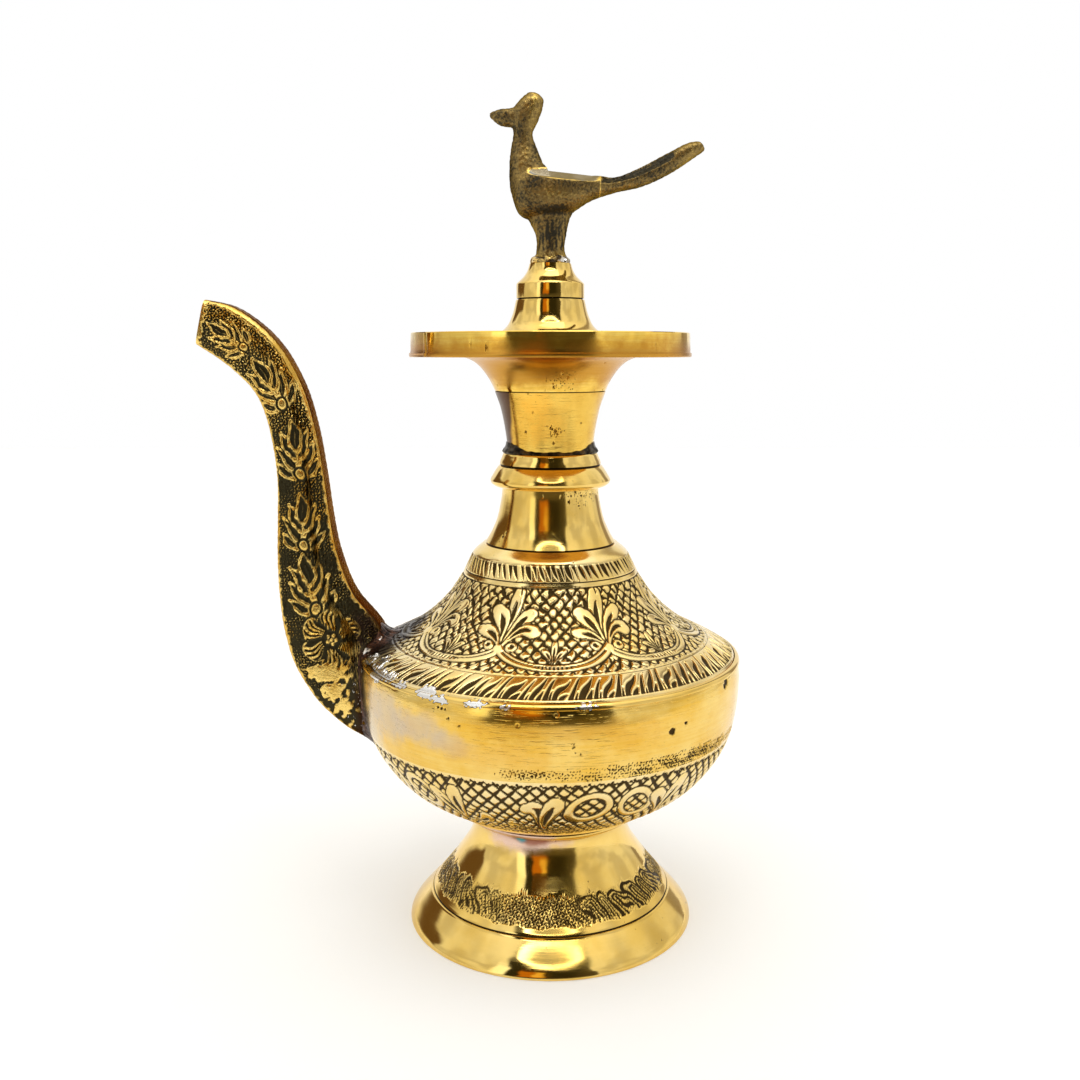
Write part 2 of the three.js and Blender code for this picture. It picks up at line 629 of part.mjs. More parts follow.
// Bird rows, drawn from the middle of its foot. The bird looks along -X.
const BIRD_BODY = [
  [-10.9, 23.4, -10.6, 19, 3.4],
  [-8.6, 24.6, -8.8, 13.6, 8.6],
  [-3, 24, -3.2, 11.4, 12],
  [4, 23, 4.4, 12.6, 12.4],
  [11, 22.2, 11, 16.4, 9.8],
  [16.6, 22.2, 17.2, 18.4, 6.4],
  [23, 24.4, 23.8, 19.8, 6],
  [31, 28.4, 32, 23.4, 6.6],
  [37.2, 31.2, 38.2, 27.4, 6],
  [39.4, 31.4, 40.9, 29.2, 4.6],
];
const BIRD_NECK = [
  [-10.6, 20, 2, 21, 9.6],
  [-10.8, 26, -1.6, 25.4, 7.6],
  [-10.2, 30.6, -3.8, 30.4, 5.2],
  [-9.7, 33.4, -4.7, 33.2, 4.8],
  [-10.2, 36.4, -3.2, 36.6, 5.8],
  [-9.8, 39.6, -1.9, 40.4, 5.6],
  [-7.4, 42.4, -2.2, 42.6, 4.2],
  [-5.9, 43.7, -3.9, 43.8, 2],
];
const BIRD_BEAK = [
  [-6.6, 40, -6.6, 35.2, 4.6],
  [-10.4, 39.8, -10.6, 35, 4.2],
  [-13.9, 39.4, -13.6, 35.6, 3],
  [-16.1, 38.6, -15.9, 37.4, 1.2],
];
const BIRD_LEGS = [
  [-3.9, 0, 3.9, 0, 7.8],
  [-3.7, 3, 3.8, 3, 6.6],
  [-3.8, 7, 4.2, 7, 6.6],
  [-5.6, 11, 5.2, 11.6, 8],
  [-6.8, 15, 7, 15, 9],
];
const BIRD_DRAWN = {
  height: BIRD_NECK.at(-1)[3],
  length: BIRD_BODY.at(-1)[2] - BIRD_BEAK.at(-1)[0],
  width: BIRD_BODY[3][4],
  foot: BIRD_LEGS[0][2],
};

function bird() {
  const up = BIRD_HEIGHT / BIRD_DRAWN.height;
  const placed = (rows, along, wide) =>
    rows.map(([a, b, c, d, t]) => [a * along, BELL_TOP + b * up, c * along, BELL_TOP + d * up, (t * wide) / 2]);
  const whole = (rows) => placed(rows, BIRD_LENGTH / BIRD_DRAWN.length, BIRD_WIDTH / BIRD_DRAWN.width);
  const stout = BIRD_FOOT_RADIUS / BIRD_DRAWN.foot;
  const form = (steps, squareness) => ({ steps, sides: 10, squareness });
  const tenon = new THREE.CylinderGeometry(TENON_RADIUS, TENON_RADIUS, TENON_DEPTH + 1, 16);
  tenon.rotateX(Math.PI / 2);
  tenon.translate(0, 0, BELL_TOP + 0.5 - TENON_DEPTH / 2);
  const pieces = [
    loft(whole(BIRD_BODY), form(18, 2.4)),
    loft(whole(BIRD_NECK), form(12, 2.4)),
    loft(whole(BIRD_BEAK), form(5, 2.4)),
    loft(placed(BIRD_LEGS, stout, stout), form(7, 2)),
    solid(tenon),
  ];
  return geometryOf(pieces.reduce((sum, piece) => sum.add(piece)));
}

// Colours and finish
function metal(colour, roughness) {
  return new THREE.MeshStandardMaterial({ color: colour, roughness, metalness: 1 });
}

const polished = metal(0xd8a848, 0.25);
const aged = metal(0x6e5526, 0.5);
const solder = metal(0x5a5244, 0.6);

const pot = new THREE.Group();
const vessel = new THREE.Group();
const lid = new THREE.Group();
pot.add(vessel, lid);
pot.position.x = AXIS_X;

function place(group, name, geometry, material) {
  const mesh = new THREE.Mesh(geometry, material);
  mesh.name = name;
  group.add(mesh);
}

place(vessel, "foot", foot(), polished);
place(vessel, "foot_braze_bead", footBead(), solder);
place(vessel, "lower_bowl", bowl(), polished);
place(vessel, "shoulder_seam_bead", seamBead(), polished);
place(vessel, "shoulder", shoulder(), polished);
place(vessel, "neck", neck(), polished);
place(vessel, "collar_ring", collar(), polished);
place(vessel, "cup_solder_ring", cupSolder(), solder);
place(vessel, "mouth_cup", cup(), polished);
place(vessel, "saucer_brim", saucer(), polished);

const [nearHalf, farHalf] = spoutHalves();
place(vessel, "spout_near_half", nearHalf, aged);
place(vessel, "spout_far_half", farHalf, aged);
place(vessel, "spout_root_solder", spoutSolder(), solder);

place(lid, "lid_bell", bell(), polished);
place(lid, "lid_locating_ring", locatingRing(), polished);
place(lid, "finial_solder", finialSolder(), solder);
place(lid, "bird_finial", bird(), aged);

const model = new THREE.Group();
model.add(pot);
export default model;
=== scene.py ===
# %% [markdown]
# # A spouted brass water pot
# This pot is turned, cast and chased by hand. The vessel is a stack of rings brazed one on
# another, the spout is a hollow casting, and a bell-shaped lid with a cast bird lies loose in
# the saucer of the mouth. The solids of the part are loaded first. All but one plain ring are
# then replaced with finer pieces at the same place, because chasing is far finer than they are.

# %% Load the frame
import math

import bmesh
import bpy
import numpy as np
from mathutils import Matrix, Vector


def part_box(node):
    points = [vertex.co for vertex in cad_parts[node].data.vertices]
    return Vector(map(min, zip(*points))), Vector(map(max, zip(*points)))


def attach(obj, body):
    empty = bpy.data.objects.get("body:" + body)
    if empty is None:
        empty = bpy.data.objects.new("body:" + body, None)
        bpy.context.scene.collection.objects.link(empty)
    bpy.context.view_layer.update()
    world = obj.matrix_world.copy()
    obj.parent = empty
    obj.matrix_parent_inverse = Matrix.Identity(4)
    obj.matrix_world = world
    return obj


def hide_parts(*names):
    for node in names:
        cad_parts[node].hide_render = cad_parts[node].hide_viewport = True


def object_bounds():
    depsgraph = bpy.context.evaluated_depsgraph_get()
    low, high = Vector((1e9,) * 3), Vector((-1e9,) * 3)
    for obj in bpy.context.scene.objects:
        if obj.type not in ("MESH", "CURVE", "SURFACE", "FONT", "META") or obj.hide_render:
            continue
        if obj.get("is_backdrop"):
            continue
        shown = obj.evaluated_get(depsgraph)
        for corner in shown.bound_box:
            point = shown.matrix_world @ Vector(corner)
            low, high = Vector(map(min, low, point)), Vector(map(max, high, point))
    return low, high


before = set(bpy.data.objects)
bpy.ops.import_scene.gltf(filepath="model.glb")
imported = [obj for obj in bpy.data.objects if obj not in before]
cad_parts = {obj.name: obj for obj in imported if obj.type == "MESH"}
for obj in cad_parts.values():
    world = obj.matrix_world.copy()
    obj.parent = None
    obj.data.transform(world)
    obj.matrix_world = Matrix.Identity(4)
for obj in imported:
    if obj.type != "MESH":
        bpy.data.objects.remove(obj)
CAD_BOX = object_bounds()
MM = 0.001
NECK_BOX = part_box("neck")
AXIS_X = (NECK_BOX[0].x + NECK_BOX[1].x) / 2
print("axis of the vessel at x =", round(AXIS_X / MM, 2), "mm")

# %% [markdown]
# ## Camera
# The photograph was taken from close by, a little above the lid and looking down by almost
# ten degrees. The lens value keeps the perspective of the ellipses, and the small shifts put
# the pot where it stands in the picture.

# %% Place the camera
EYE_DISTANCE = 311 * MM
EYE_HEIGHT = 161.7 * MM
LOOK_DOWN = math.radians(9.6)
PHOTO_SIZE = 1080
FOCAL_PIXELS = 1127
AXIS_PIXEL = 550.3
HORIZON_SHIFT_PIXELS = 2.4
SENSOR_WIDTH = 36
CLIP_START = 0.01

camera_data = bpy.data.cameras.new("camera")
camera_data.sensor_width = SENSOR_WIDTH
camera_data.lens = SENSOR_WIDTH * FOCAL_PIXELS / PHOTO_SIZE
camera_data.shift_x = (PHOTO_SIZE / 2 - AXIS_PIXEL) / PHOTO_SIZE
camera_data.shift_y = HORIZON_SHIFT_PIXELS / PHOTO_SIZE
camera_data.clip_start = CLIP_START
camera = bpy.data.objects.new("camera", camera_data)
camera.location = (AXIS_X, -EYE_DISTANCE, EYE_HEIGHT)
camera.rotation_euler = (math.pi / 2 - LOOK_DOWN, 0, 0)
bpy.context.scene.collection.objects.link(camera)
bpy.context.scene.camera = camera
bpy.context.scene.view_settings.view_transform = "Standard"
print("lens", round(camera_data.lens, 1), "mm,", round(EYE_DISTANCE / MM), "mm from the axis")

# %% [markdown]
# ## Node helpers
# Shader trees are easier to read as short sums than as lists of links. One helper makes a
# node and sets its sockets. Others write arithmetic, so that a mask can be read like a formula.

# %% Build shader trees
def node(tree, kind, settings=None, **inputs):
    """A new node. Inputs are values or sockets, named as on the node with _ for a space."""
    made = tree.nodes.new(kind)
    for name, value in (settings or {}).items():
        setattr(made, name, value)
    for name, value in inputs.items():
        fill(tree, made.inputs[name.replace("_", " ")], value)
    return made


def fill(tree, socket, value):
    if isinstance(value, bpy.types.NodeSocket):
        tree.links.new(value, socket)
    else:
        socket.default_value = value


def calc(tree, operation, *values):
    """A Math node on numbers or sockets."""
    made = tree.nodes.new("ShaderNodeMath")
    made.operation = operation
    for socket, value in zip(made.inputs, values):
        fill(tree, socket, value)
    return made.outputs[0]


def ramp(tree, value, low, high, to_low=0.0, to_high=1.0):
    """A soft step from to_low to to_high as the value goes from low to high."""
    settings = {"interpolation_type": "SMOOTHSTEP"}
    made = node(tree, "ShaderNodeMapRange", settings, Value=value)
    for name, number in (("From Min", low), ("From Max", high), ("To Min", to_low), ("To Max", to_high)):
        made.inputs[name].default_value = number
    return made.outputs["Result"]


# The colour sockets of a Mix node have the same names as its others, so they go by their place.
MIX_INPUTS = (0, 6, 7)
MIX_OUTPUT = 2


def mix(tree, share, first, second):
    """A colour mix of two colours or sockets."""
    made = node(tree, "ShaderNodeMix", {"data_type": "RGBA"})
    for place, value in zip(MIX_INPUTS, (share, first, second)):
        fill(tree, made.inputs[place], value)
    return made.outputs[MIX_OUTPUT]


def speckle(tree, vector, scale, detail=2.0, roughness=0.5, distortion=0.0):
    made = node(tree, "ShaderNodeTexNoise", Vector=vector, Scale=scale, Detail=detail,
                Roughness=roughness, Distortion=distortion)
    return made.outputs["Fac"]


def rgb(red, green, blue):
    return (red, green, blue, 1.0)


def grey(value):
    return rgb(value, value, value)


def attribute(tree, name):
    """A value that is kept on the points of the mesh."""
    return node(tree, "ShaderNodeAttribute", {"attribute_name": name}).outputs["Fac"]


def on_axis(tree):
    """Object coordinates measured from the vessel's axis."""
    place = node(tree, "ShaderNodeTexCoord").outputs["Object"]
    moved = node(tree, "ShaderNodeMapping", Vector=place)
    moved.inputs["Location"].default_value = (-AXIS_X, 0, 0)
    return moved.outputs[0]


# %% [markdown]
# ## Studio
# Polished brass has hardly a colour of its own: it shows what stands round it. Shiny things are
# often photographed in a white tent with an opening for the camera. The opening shows as a dark
# patch in the foot and the neck, and the ring of light above it as a bright loop on the rim.
# The world is painted as that tent, by direction, and is the same for the camera and the metal.
# The wall behind the pot is plain white, and the opening is in the wall behind the camera.

# %% The tent's colours and where they lie
TENT = rgb(1.0, 0.99, 0.96)
TENT_TOP = rgb(1.5, 1.48, 1.42)
TENT_SIDE = rgb(0.72, 0.7, 0.67)
WHITE = rgb(1, 1, 1)
BACK_BROWN = rgb(0.15, 0.09, 0.04)
WINDOW = rgb(1.5, 1.55, 1.6)
OPENING = rgb(0.032, 0.027, 0.011)
OPENING_LOW = rgb(0.125, 0.105, 0.06)
OPENING_WARM = rgb(0.6, 0.2, 0.01)
OPENING_YELLOW = rgb(1.0, 0.62, 0.12)
LAMP_EDGE = rgb(5.5, 5.4, 5.1)
LAMP_MIDDLE = rgb(0.6, 0.58, 0.5)

# A patch of the tent is (middle, half, softness) across and then up, in degrees.
BACK_LEFT_PATCH = ((-122, 22, 2), (13, 9, 3))
OPENING_PATCH = ((-1, 37, 0.5), (18, 30, 1))
WARM_PATCH = ((-15, 10, 2), (26, 18, 2))
YELLOW_PATCH = ((-9, 4.5, 1), (27, 13, 2))
WINDOW_PATCH = ((-41, 6, 1.5), (22, 20, 3))
BACK_RIGHT_STRIP = (140, 7, 2)

# An oval of the tent is its middle and its half size, across and up, in degrees.
LAMP_OVAL = ((0, 54), (35, 8))
DARK_OVAL = ((-1, 50), (43, 16))

# A soft step is where it starts and where it ends, in degrees.
BACKDROP_SIDES = (140, 149)
BACKDROP_TOP = (22, 34)
TENT_RISE = (30, 80)
OPENING_RISE = (3, 10)
OPENING_RIGHT = (14, 34)
WOBBLE = 9.0
OPENING_WOBBLE = 10.0
print("the opening is", 2 * OPENING_PATCH[0][1], "degrees wide and", 2 * OPENING_PATCH[1][1], "high")


# %% Masks on the sky
def band_mask(tree, value, middle, half, edge):
    """1 within half of the middle, 0 beyond it, with a soft edge."""
    off = calc(tree, "ABSOLUTE", calc(tree, "SUBTRACT", value, middle))
    return ramp(tree, off, half - edge, half + edge, 1.0, 0.0)


def patch_mask(tree, azimuth, height, patch):
    across, up = patch
    return calc(tree, "MULTIPLY", band_mask(tree, azimuth, *across), band_mask(tree, height, *up))


def oval_mask(tree, azimuth, height, oval):
    """0 in the middle of an oval and 1 on its edge."""
    middle, half = oval
    across = calc(tree, "DIVIDE", calc(tree, "SUBTRACT", azimuth, middle[0]), half[0])
    above = calc(tree, "DIVIDE", calc(tree, "SUBTRACT", height, middle[1]), half[1])
    squares = calc(tree, "MULTIPLY_ADD", across, across, calc(tree, "MULTIPLY", above, above))
    return calc(tree, "SQRT", squares)


def front_azimuth(tree, parts):
    """Degrees to the right of straight ahead, as seen from the vessel."""
    front = calc(tree, "MULTIPLY", parts["Y"], -1.0)
    return calc(tree, "DEGREES", calc(tree, "ARCTAN2", parts["X"], front))


def wavering(tree, texture, reach):
    """The texture as an offset of up to half the reach either way."""
    return calc(tree, "MULTIPLY_ADD", texture, reach, -reach / 2)


# %% Paint the tent
def paint_back(tree, colour, azimuth, height, rough_azimuth, rough_height):
    """The white wall behind the pot, and the brown places on either side of it."""
    backdrop = calc(tree, "MULTIPLY", ramp(tree, calc(tree, "ABSOLUTE", azimuth), *BACKDROP_SIDES),
                    ramp(tree, height, *BACKDROP_TOP, 1.0, 0.0))
    colour = mix(tree, backdrop, colour, WHITE)
    left = patch_mask(tree, rough_azimuth, rough_height, BACK_LEFT_PATCH)
    colour = mix(tree, left, colour, BACK_BROWN)
    right = calc(tree, "MULTIPLY", band_mask(tree, rough_azimuth, *BACK_RIGHT_STRIP), 0.7)
    return mix(tree, right, colour, BACK_BROWN)


def paint_opening(tree, colour, direction, height, rough_azimuth, rough_height):
    """The dark opening, paler below and on its right, with a warm patch in it."""
    patches = wavering(tree, speckle(tree, direction, 5.0, 3.0), OPENING_WOBBLE)
    rise = ramp(tree, calc(tree, "ADD", height, patches), *OPENING_RISE)
    dark = mix(tree, rise, OPENING_LOW, OPENING)
    dim = calc(tree, "MULTIPLY", ramp(tree, rough_azimuth, *OPENING_RIGHT), 0.6)
    dark = mix(tree, dim, dark, OPENING_LOW)
    yellow = patch_mask(tree, rough_azimuth, height, YELLOW_PATCH)
    warm = patch_mask(tree, rough_azimuth, rough_height, WARM_PATCH)
    dark = mix(tree, warm, dark, mix(tree, yellow, OPENING_WARM, OPENING_YELLOW))
    return mix(tree, patch_mask(tree, rough_azimuth, rough_height, OPENING_PATCH), colour, dark)


def paint_lamp(tree, colour, azimuth, height, rough_height):
    """A bright ring with a duller middle, in a dark field."""
    field = oval_mask(tree, azimuth, rough_height, DARK_OVAL)
    colour = mix(tree, ramp(tree, field, 0.86, 1.02, 0.85, 0.0), colour, OPENING)
    oval = oval_mask(tree, azimuth, height, LAMP_OVAL)
    lamp = mix(tree, ramp(tree, oval, 0.55, 0.9), LAMP_MIDDLE, LAMP_EDGE)
    return mix(tree, ramp(tree, oval, 0.94, 1.06, 1.0, 0.0), colour, lamp)


def paint_tent():
    world = bpy.data.worlds.new("tent")
    bpy.context.scene.world = world
    world.use_nodes = True
    tree = world.node_tree
    tree.nodes.clear()
    direction = node(tree, "ShaderNodeTexCoord").outputs["Generated"]
    parts = node(tree, "ShaderNodeSeparateXYZ", Vector=direction).outputs
    azimuth = front_azimuth(tree, parts)
    height = calc(tree, "DEGREES", calc(tree, "ARCSINE", parts["Z"]))
    wobble = wavering(tree, speckle(tree, direction, 4.5, 0.5), WOBBLE)
    rough_azimuth = calc(tree, "ADD", azimuth, wobble)
    rough_height = calc(tree, "ADD", height, wobble)

    folds = ramp(tree, speckle(tree, direction, 2.4, 2.0), 0.42, 0.62)
    colour = mix(tree, folds, TENT, TENT_SIDE)
    colour = mix(tree, ramp(tree, height, *TENT_RISE), colour, TENT_TOP)
    colour = paint_back(tree, colour, azimuth, height, rough_azimuth, rough_height)
    colour = paint_opening(tree, colour, direction, height, rough_azimuth, rough_height)
    colour = mix(tree, patch_mask(tree, azimuth, height, WINDOW_PATCH), colour, WINDOW)
    colour = paint_lamp(tree, colour, azimuth, height, rough_height)

    shade = node(tree, "ShaderNodeBackground", Color=colour, Strength=1.0)
    node(tree, "ShaderNodeOutputWorld", Surface=shade.outputs[0])
    print("tent painted with", len(tree.nodes), "nodes")


paint_tent()

# %% [markdown]
# The table is a pale sheet. It keeps a soft shadow of the pot, and a little light of its own
# lifts it towards the white of the background, in the picture and in the brass alike. Its front
# edge lies below the picture, so that foot and bowl look past it into the opening.

# %% Lay the table and hang one soft lamp
TABLE_FRONT = -0.2
TABLE_BACK = 1.6
TABLE_SIDE = 1.5
TABLE_WHITE = rgb(0.8, 0.8, 0.79)
TABLE_GLOW = 0.25
LAMP_AIM = Vector((AXIS_X, 0, 0.1))


def table_paper():
    """Matt paper with a little glow, the same for the camera and for reflections."""
    material = bpy.data.materials.new("table_white")
    material.use_nodes = True
    tree = material.node_tree
    tree.nodes.clear()
    path = node(tree, "ShaderNodeLightPath").outputs
    seen = calc(tree, "MAXIMUM", path["Is Camera Ray"], path["Is Transmission Ray"])
    seen = calc(tree, "MAXIMUM", seen, path["Is Glossy Ray"])
    paper = node(tree, "ShaderNodeBsdfDiffuse", Color=TABLE_WHITE)
    glow = node(tree, "ShaderNodeEmission", Color=WHITE, Strength=calc(tree, "MULTIPLY", seen, TABLE_GLOW))
    both = tree.nodes.new("ShaderNodeAddShader")
    tree.links.new(paper.outputs[0], both.inputs[0])
    tree.links.new(glow.outputs[0], both.inputs[1])
    node(tree, "ShaderNodeOutputMaterial", Surface=both.outputs[0])
    return material


def lay_table():
    mesh = bpy.data.meshes.new("table")
    bm = bmesh.new()
    bmesh.ops.create_grid(bm, x_segments=1, y_segments=1, size=0.5)
    bmesh.ops.scale(bm, vec=(2 * TABLE_SIDE, TABLE_BACK - TABLE_FRONT, 1), verts=bm.verts)
    bmesh.ops.translate(bm, vec=(AXIS_X, (TABLE_BACK + TABLE_FRONT) / 2, 0), verts=bm.verts)
    bm.to_mesh(mesh)
    bm.free()
    mesh.materials.append(table_paper())
    table = bpy.data.objects.new("table", mesh)
    bpy.context.scene.collection.objects.link(table)
    table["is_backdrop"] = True
    print("table from", TABLE_FRONT, "to", TABLE_BACK, "m")


def hang_lamp(name, place, size, power):
    data = bpy.data.lights.new(name, "AREA")
    data.shape = "RECTANGLE"
    data.size, data.size_y = size
    data.energy = power
    lamp = bpy.data.objects.new(name, data)
    lamp.location = place
    lamp.rotation_euler = (LAMP_AIM - lamp.location).to_track_quat("-Z", "Y").to_euler()
    bpy.context.scene.collection.objects.link(lamp)
    print(name, "lamp of", power, "W")


lay_table()
hang_lamp("key", place=(0.1, -0.2, 0.9), size=(0.5, 0.5), power=0.8)

# %% [markdown]
# ## Outlines
# Nearly every ring of the vessel is a body of revolution, so it is drawn as half a section and
# spun about the axis. A few points are enough for a flank: a smooth line is laid through them
# and cut into even steps, so that the faces stay square and the chasing stays sharp.

# %% Draw and spin outlines
def curve_through(points, knots, count):
    """Rows on a smooth curve through the given ones, which lie at the knots."""
    slope = np.gradient(points, knots, axis=0)
    at = np.linspace(0, knots[-1], count)
    k = np.clip(np.searchsorted(knots, at, side="right") - 1, 0, len(knots) - 2)
    step = (knots[k + 1] - knots[k])[:, None]
    u = (at - knots[k])[:, None] / step
    line = (2 * u**3 - 3 * u**2 + 1) * points[k] + (u**3 - 2 * u**2 + u) * step * slope[k]
    return line + ((3 * u**2 - 2 * u**3) * points[k + 1] + (u**3 - u**2) * step * slope[k + 1])


def smooth_line(points, spacing):
    """Even points on a smooth line through the given ones, as [radius, height] in mm."""
    points = np.array(points, float)
    chord = np.sqrt(np.hypot(*np.diff(points, axis=0).T))
    knots = np.concatenate([[0], np.cumsum(chord)])
    return even_line(curve_through(points, knots, 60 * len(points)), spacing)


def lengths(line):
    return np.concatenate([[0], np.cumsum(np.hypot(*np.diff(line, axis=0).T))])


def even_line(line, spacing):
    run = lengths(line)
    count = max(2, round(run[-1] / spacing) + 1)
    even = np.linspace(0, run[-1], count)
    return np.column_stack([np.interp(even, run, line[:, i]) for i in (0, 1)])


def skin(points, relief=None):
    """Faces through rows of points [row, column, xyz] in mm, welded where points meet."""
    rows, columns = points.shape[:2]
    bm = bmesh.new()
    bmesh.ops.create_grid(bm, x_segments=columns - 1, y_segments=rows - 1, size=0.5)
    layer = bm.verts.layers.float.new("relief") if relief is not None else None
    for vert in bm.verts:
        row, column = round((vert.co.y + 0.5) * (rows - 1)), round((vert.co.x + 0.5) * (columns - 1))
        x, y, z = points[row, column]
        vert.co = (AXIS_X + x * MM, y * MM, z * MM)
        if layer:
            vert[layer] = relief[row, column]
    bmesh.ops.remove_doubles(bm, verts=bm.verts, dist=0.002 * MM)
    bmesh.ops.recalc_face_normals(bm, faces=bm.faces)
    return bm


def spin(outline, columns, scored=()):
    """A closed ring or a body with its ends on the axis, from an outline in mm.

    Points of the outline that are listed as scored are the bottoms of dark lines."""
    outline = np.array(outline, float)
    if outline[0][0] > 0 or outline[-1][0] > 0:
        outline = np.vstack([outline, outline[:1]])
    relief = np.ones(len(outline))
    for point in scored:
        relief[np.hypot(*(outline - point).T) < 0.02] = 0
    turn = np.linspace(0, 2 * math.pi, columns + 1)
    turn[-1] = 0
    radius, height = outline[:, :1], outline[:, 1:]
    points = np.stack([radius * np.sin(turn), -radius * np.cos(turn), height + 0 * turn], axis=2)
    return skin(points, np.repeat(relief[:, None], columns + 1, axis=1) if len(scored) else None)


def finished(name, bm, body, material, nodes=(), crease=35):
    """The piece as an object that rides on its body and stands for its solids."""
    mesh = bpy.data.meshes.new(name)
    bm.to_mesh(mesh)
    bm.free()
    if "relief" not in mesh.attributes:
        even = mesh.attributes.new("relief", "FLOAT", "POINT")
        even.data.foreach_set("value", np.ones(len(mesh.vertices), np.float32))
    mesh.shade_smooth()
    mesh.set_sharp_from_angle(angle=math.radians(crease))
    mesh.materials.append(material)
    piece = bpy.data.objects.new(name, mesh)
    bpy.context.scene.collection.objects.link(piece)
    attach(piece, body)
    if nodes:
        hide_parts(*nodes)
    print(name, len(mesh.vertices), "points")
    return piece


# %% [markdown]
# ## Carving
# A chased ornament is metal pushed down with a punch. Here the outside of a finely divided
# ring is pushed inwards where a drawing says so. The drawing is a function of the angle round
# the axis and of the distance up the flank, so it needs no picture. Its value, 1 on the lands
# and 0 in the cuts, is kept as an attribute, with which the finish darkens the cuts.

# %% Push the drawing into a ring
DEGREE = math.pi / 180
CHASING_DEPTH = 0.42
PIT_DEPTH = 0.3


def read_points(mesh):
    """The points of a mesh as rows of x, y, z in metres."""
    co = np.empty(len(mesh.vertices) * 3)
    mesh.vertices.foreach_get("co", co)
    return co.reshape(-1, 3)


def carve(piece, line, drawing, depth):
    """Lowers the outside of a turned piece by depth (mm) where the drawing is 0."""
    mesh = piece.data
    co = read_points(mesh)
    x, y, height = (co[:, 0] - AXIS_X) / MM, co[:, 1] / MM, co[:, 2] / MM
    radius = np.hypot(x, y)
    angle = np.degrees(np.arctan2(x, -y))
    if line[0][1] > line[-1][1]:
        line = line[::-1]
    run = np.interp(height, line[:, 1], lengths(line))
    out = np.abs(radius - np.interp(height, line[:, 1], line[:, 0])) < 0.05
    out &= (height > line[0][1] - 0.01) & (height < line[-1][1] + 0.01)
    tangent = np.gradient(line, axis=0)
    tangent /= np.hypot(*tangent.T)[:, None]
    normal = [np.interp(height, line[:, 1], t) for t in (tangent[:, 1], -tangent[:, 0])]
    land = np.ones(len(co))
    land[out] = drawing(angle[out], run[out], radius[out])
    push = np.where(out, depth * (land - 1), 0)
    stretch = (radius + push * normal[0]) / np.maximum(radius, 1e-9)
    co[:, 0] = AXIS_X + x * stretch * MM
    co[:, 1] = y * stretch * MM
    co[:, 2] = (height + push * normal[1]) * MM
    mesh.vertices.foreach_set("co", co.ravel())
    relief = mesh.attributes["relief"]
    before = np.empty(len(land), np.float32)
    relief.data.foreach_get("value", before)
    relief.data.foreach_set("value", np.minimum(before, land).astype(np.float32))
    mesh.update()


def soft(distance, edge=0.14):
    """1 inside a shape and 0 outside it, from its signed distance in mm."""
    share = np.clip(0.5 - distance / (2 * edge), 0, 1)
    return share * share * (3 - 2 * share)


def stroke(x, y, path, widths):
    """Signed distance in mm to a line with a width at each point."""
    near = np.full(np.shape(x), 1e9)
    for (ax, ay), (bx, by), wa, wb in zip(path, path[1:], widths, widths[1:]):
        dx, dy = bx - ax, by - ay
        share = np.clip(((x - ax) * dx + (y - ay) * dy) / (dx * dx + dy * dy), 0, 1)
        gap = np.hypot(x - ax - share * dx, y - ay - share * dy)
        near = np.minimum(near, gap - wa - (wb - wa) * share)
    return near


def pillow(away, reach=0.45, low=0.72):
    """A land that rounds off towards a cut, from its distance to the cut."""
    return 1 - (1 - low) * np.exp(-np.maximum(away, 0) / reach)


def bent(start, bend, end):
    """Seven points on a curve from start to end that leans towards bend."""
    share = np.linspace(0, 1, 7)[:, None]
    start, bend, end = (np.array(p, float) for p in (start, bend, end))
    return (1 - share) ** 2 * start + 2 * share * (1 - share) * bend + share**2 * end


LEAF = np.array([0.18, 0.34, 0.54, 0.76, 0.94, 1.0, 0.82])
SLIT = np.array([0.0, 0.25, 0.6, 1.0, 0.9, 0.3, 0.0])
SLIT_SHARE = 0.3


def draw_leaf(land, x, y, base, bend, tip, width, rim=0.3):
    """A smooth raised leaf with a cut line round it and a slit along its middle."""
    path = bent(base, bend, tip)
    edge = stroke(x, y, path, width * LEAF)
    land = land * (1 - soft(edge - rim))
    land = np.maximum(land, soft(edge) * pillow(-edge))
    vein = stroke(x, y, path[1:-1] * 0.94 + path[3] * 0.06, width * SLIT_SHARE * SLIT[1:-1])
    return land * (1 - soft(vein))


def draw_leaves(land, x, y, leaves):
    """Several leaves, each (base, bend, tip, width) in mm, the later over the earlier."""
    for leaf in leaves:
        land = draw_leaf(land, x, y, *leaf)
    return land


def lattice(x, y, wide, tall, cut):
    """Crossed cuts that leave diamonds wide by tall."""
    near = np.full(np.shape(x), 1e9)
    for sign in (1, -1):
        share = x / wide + sign * y / tall
        near = np.minimum(near, np.abs(share - np.round(share)) * wide)
    return (1 - soft(near - cut)) * pillow(near - cut, 0.35)


def stipple(x, y, size, seed=0.0):
    """Uneven round dots about size mm apart, between 0 and 1."""
    wave = np.zeros(np.shape(x))
    for k in range(7):
        turn = seed + k * 2.399
        pitch = 2 * math.pi / size * (0.75 + 0.08 * k)
        wave = wave + np.sin((x * math.cos(turn) + y * math.sin(turn)) * pitch + k * k)
    return np.clip(0.5 + wave / 5, 0, 1)


def turned_to(angle, middle):
    """The angle measured from a middle, between -180 and 180 degrees."""
    return (angle - middle + 180) % 360 - 180


def arc(angle, middle, radius):
    """The way round the ring from a middle, in mm."""
    return turned_to(angle, middle) * DEGREE * radius


# %% [markdown]
# Smaller marks are carved the same way: casting pits, and the fields of little pocks that a
# slipping punch leaves.

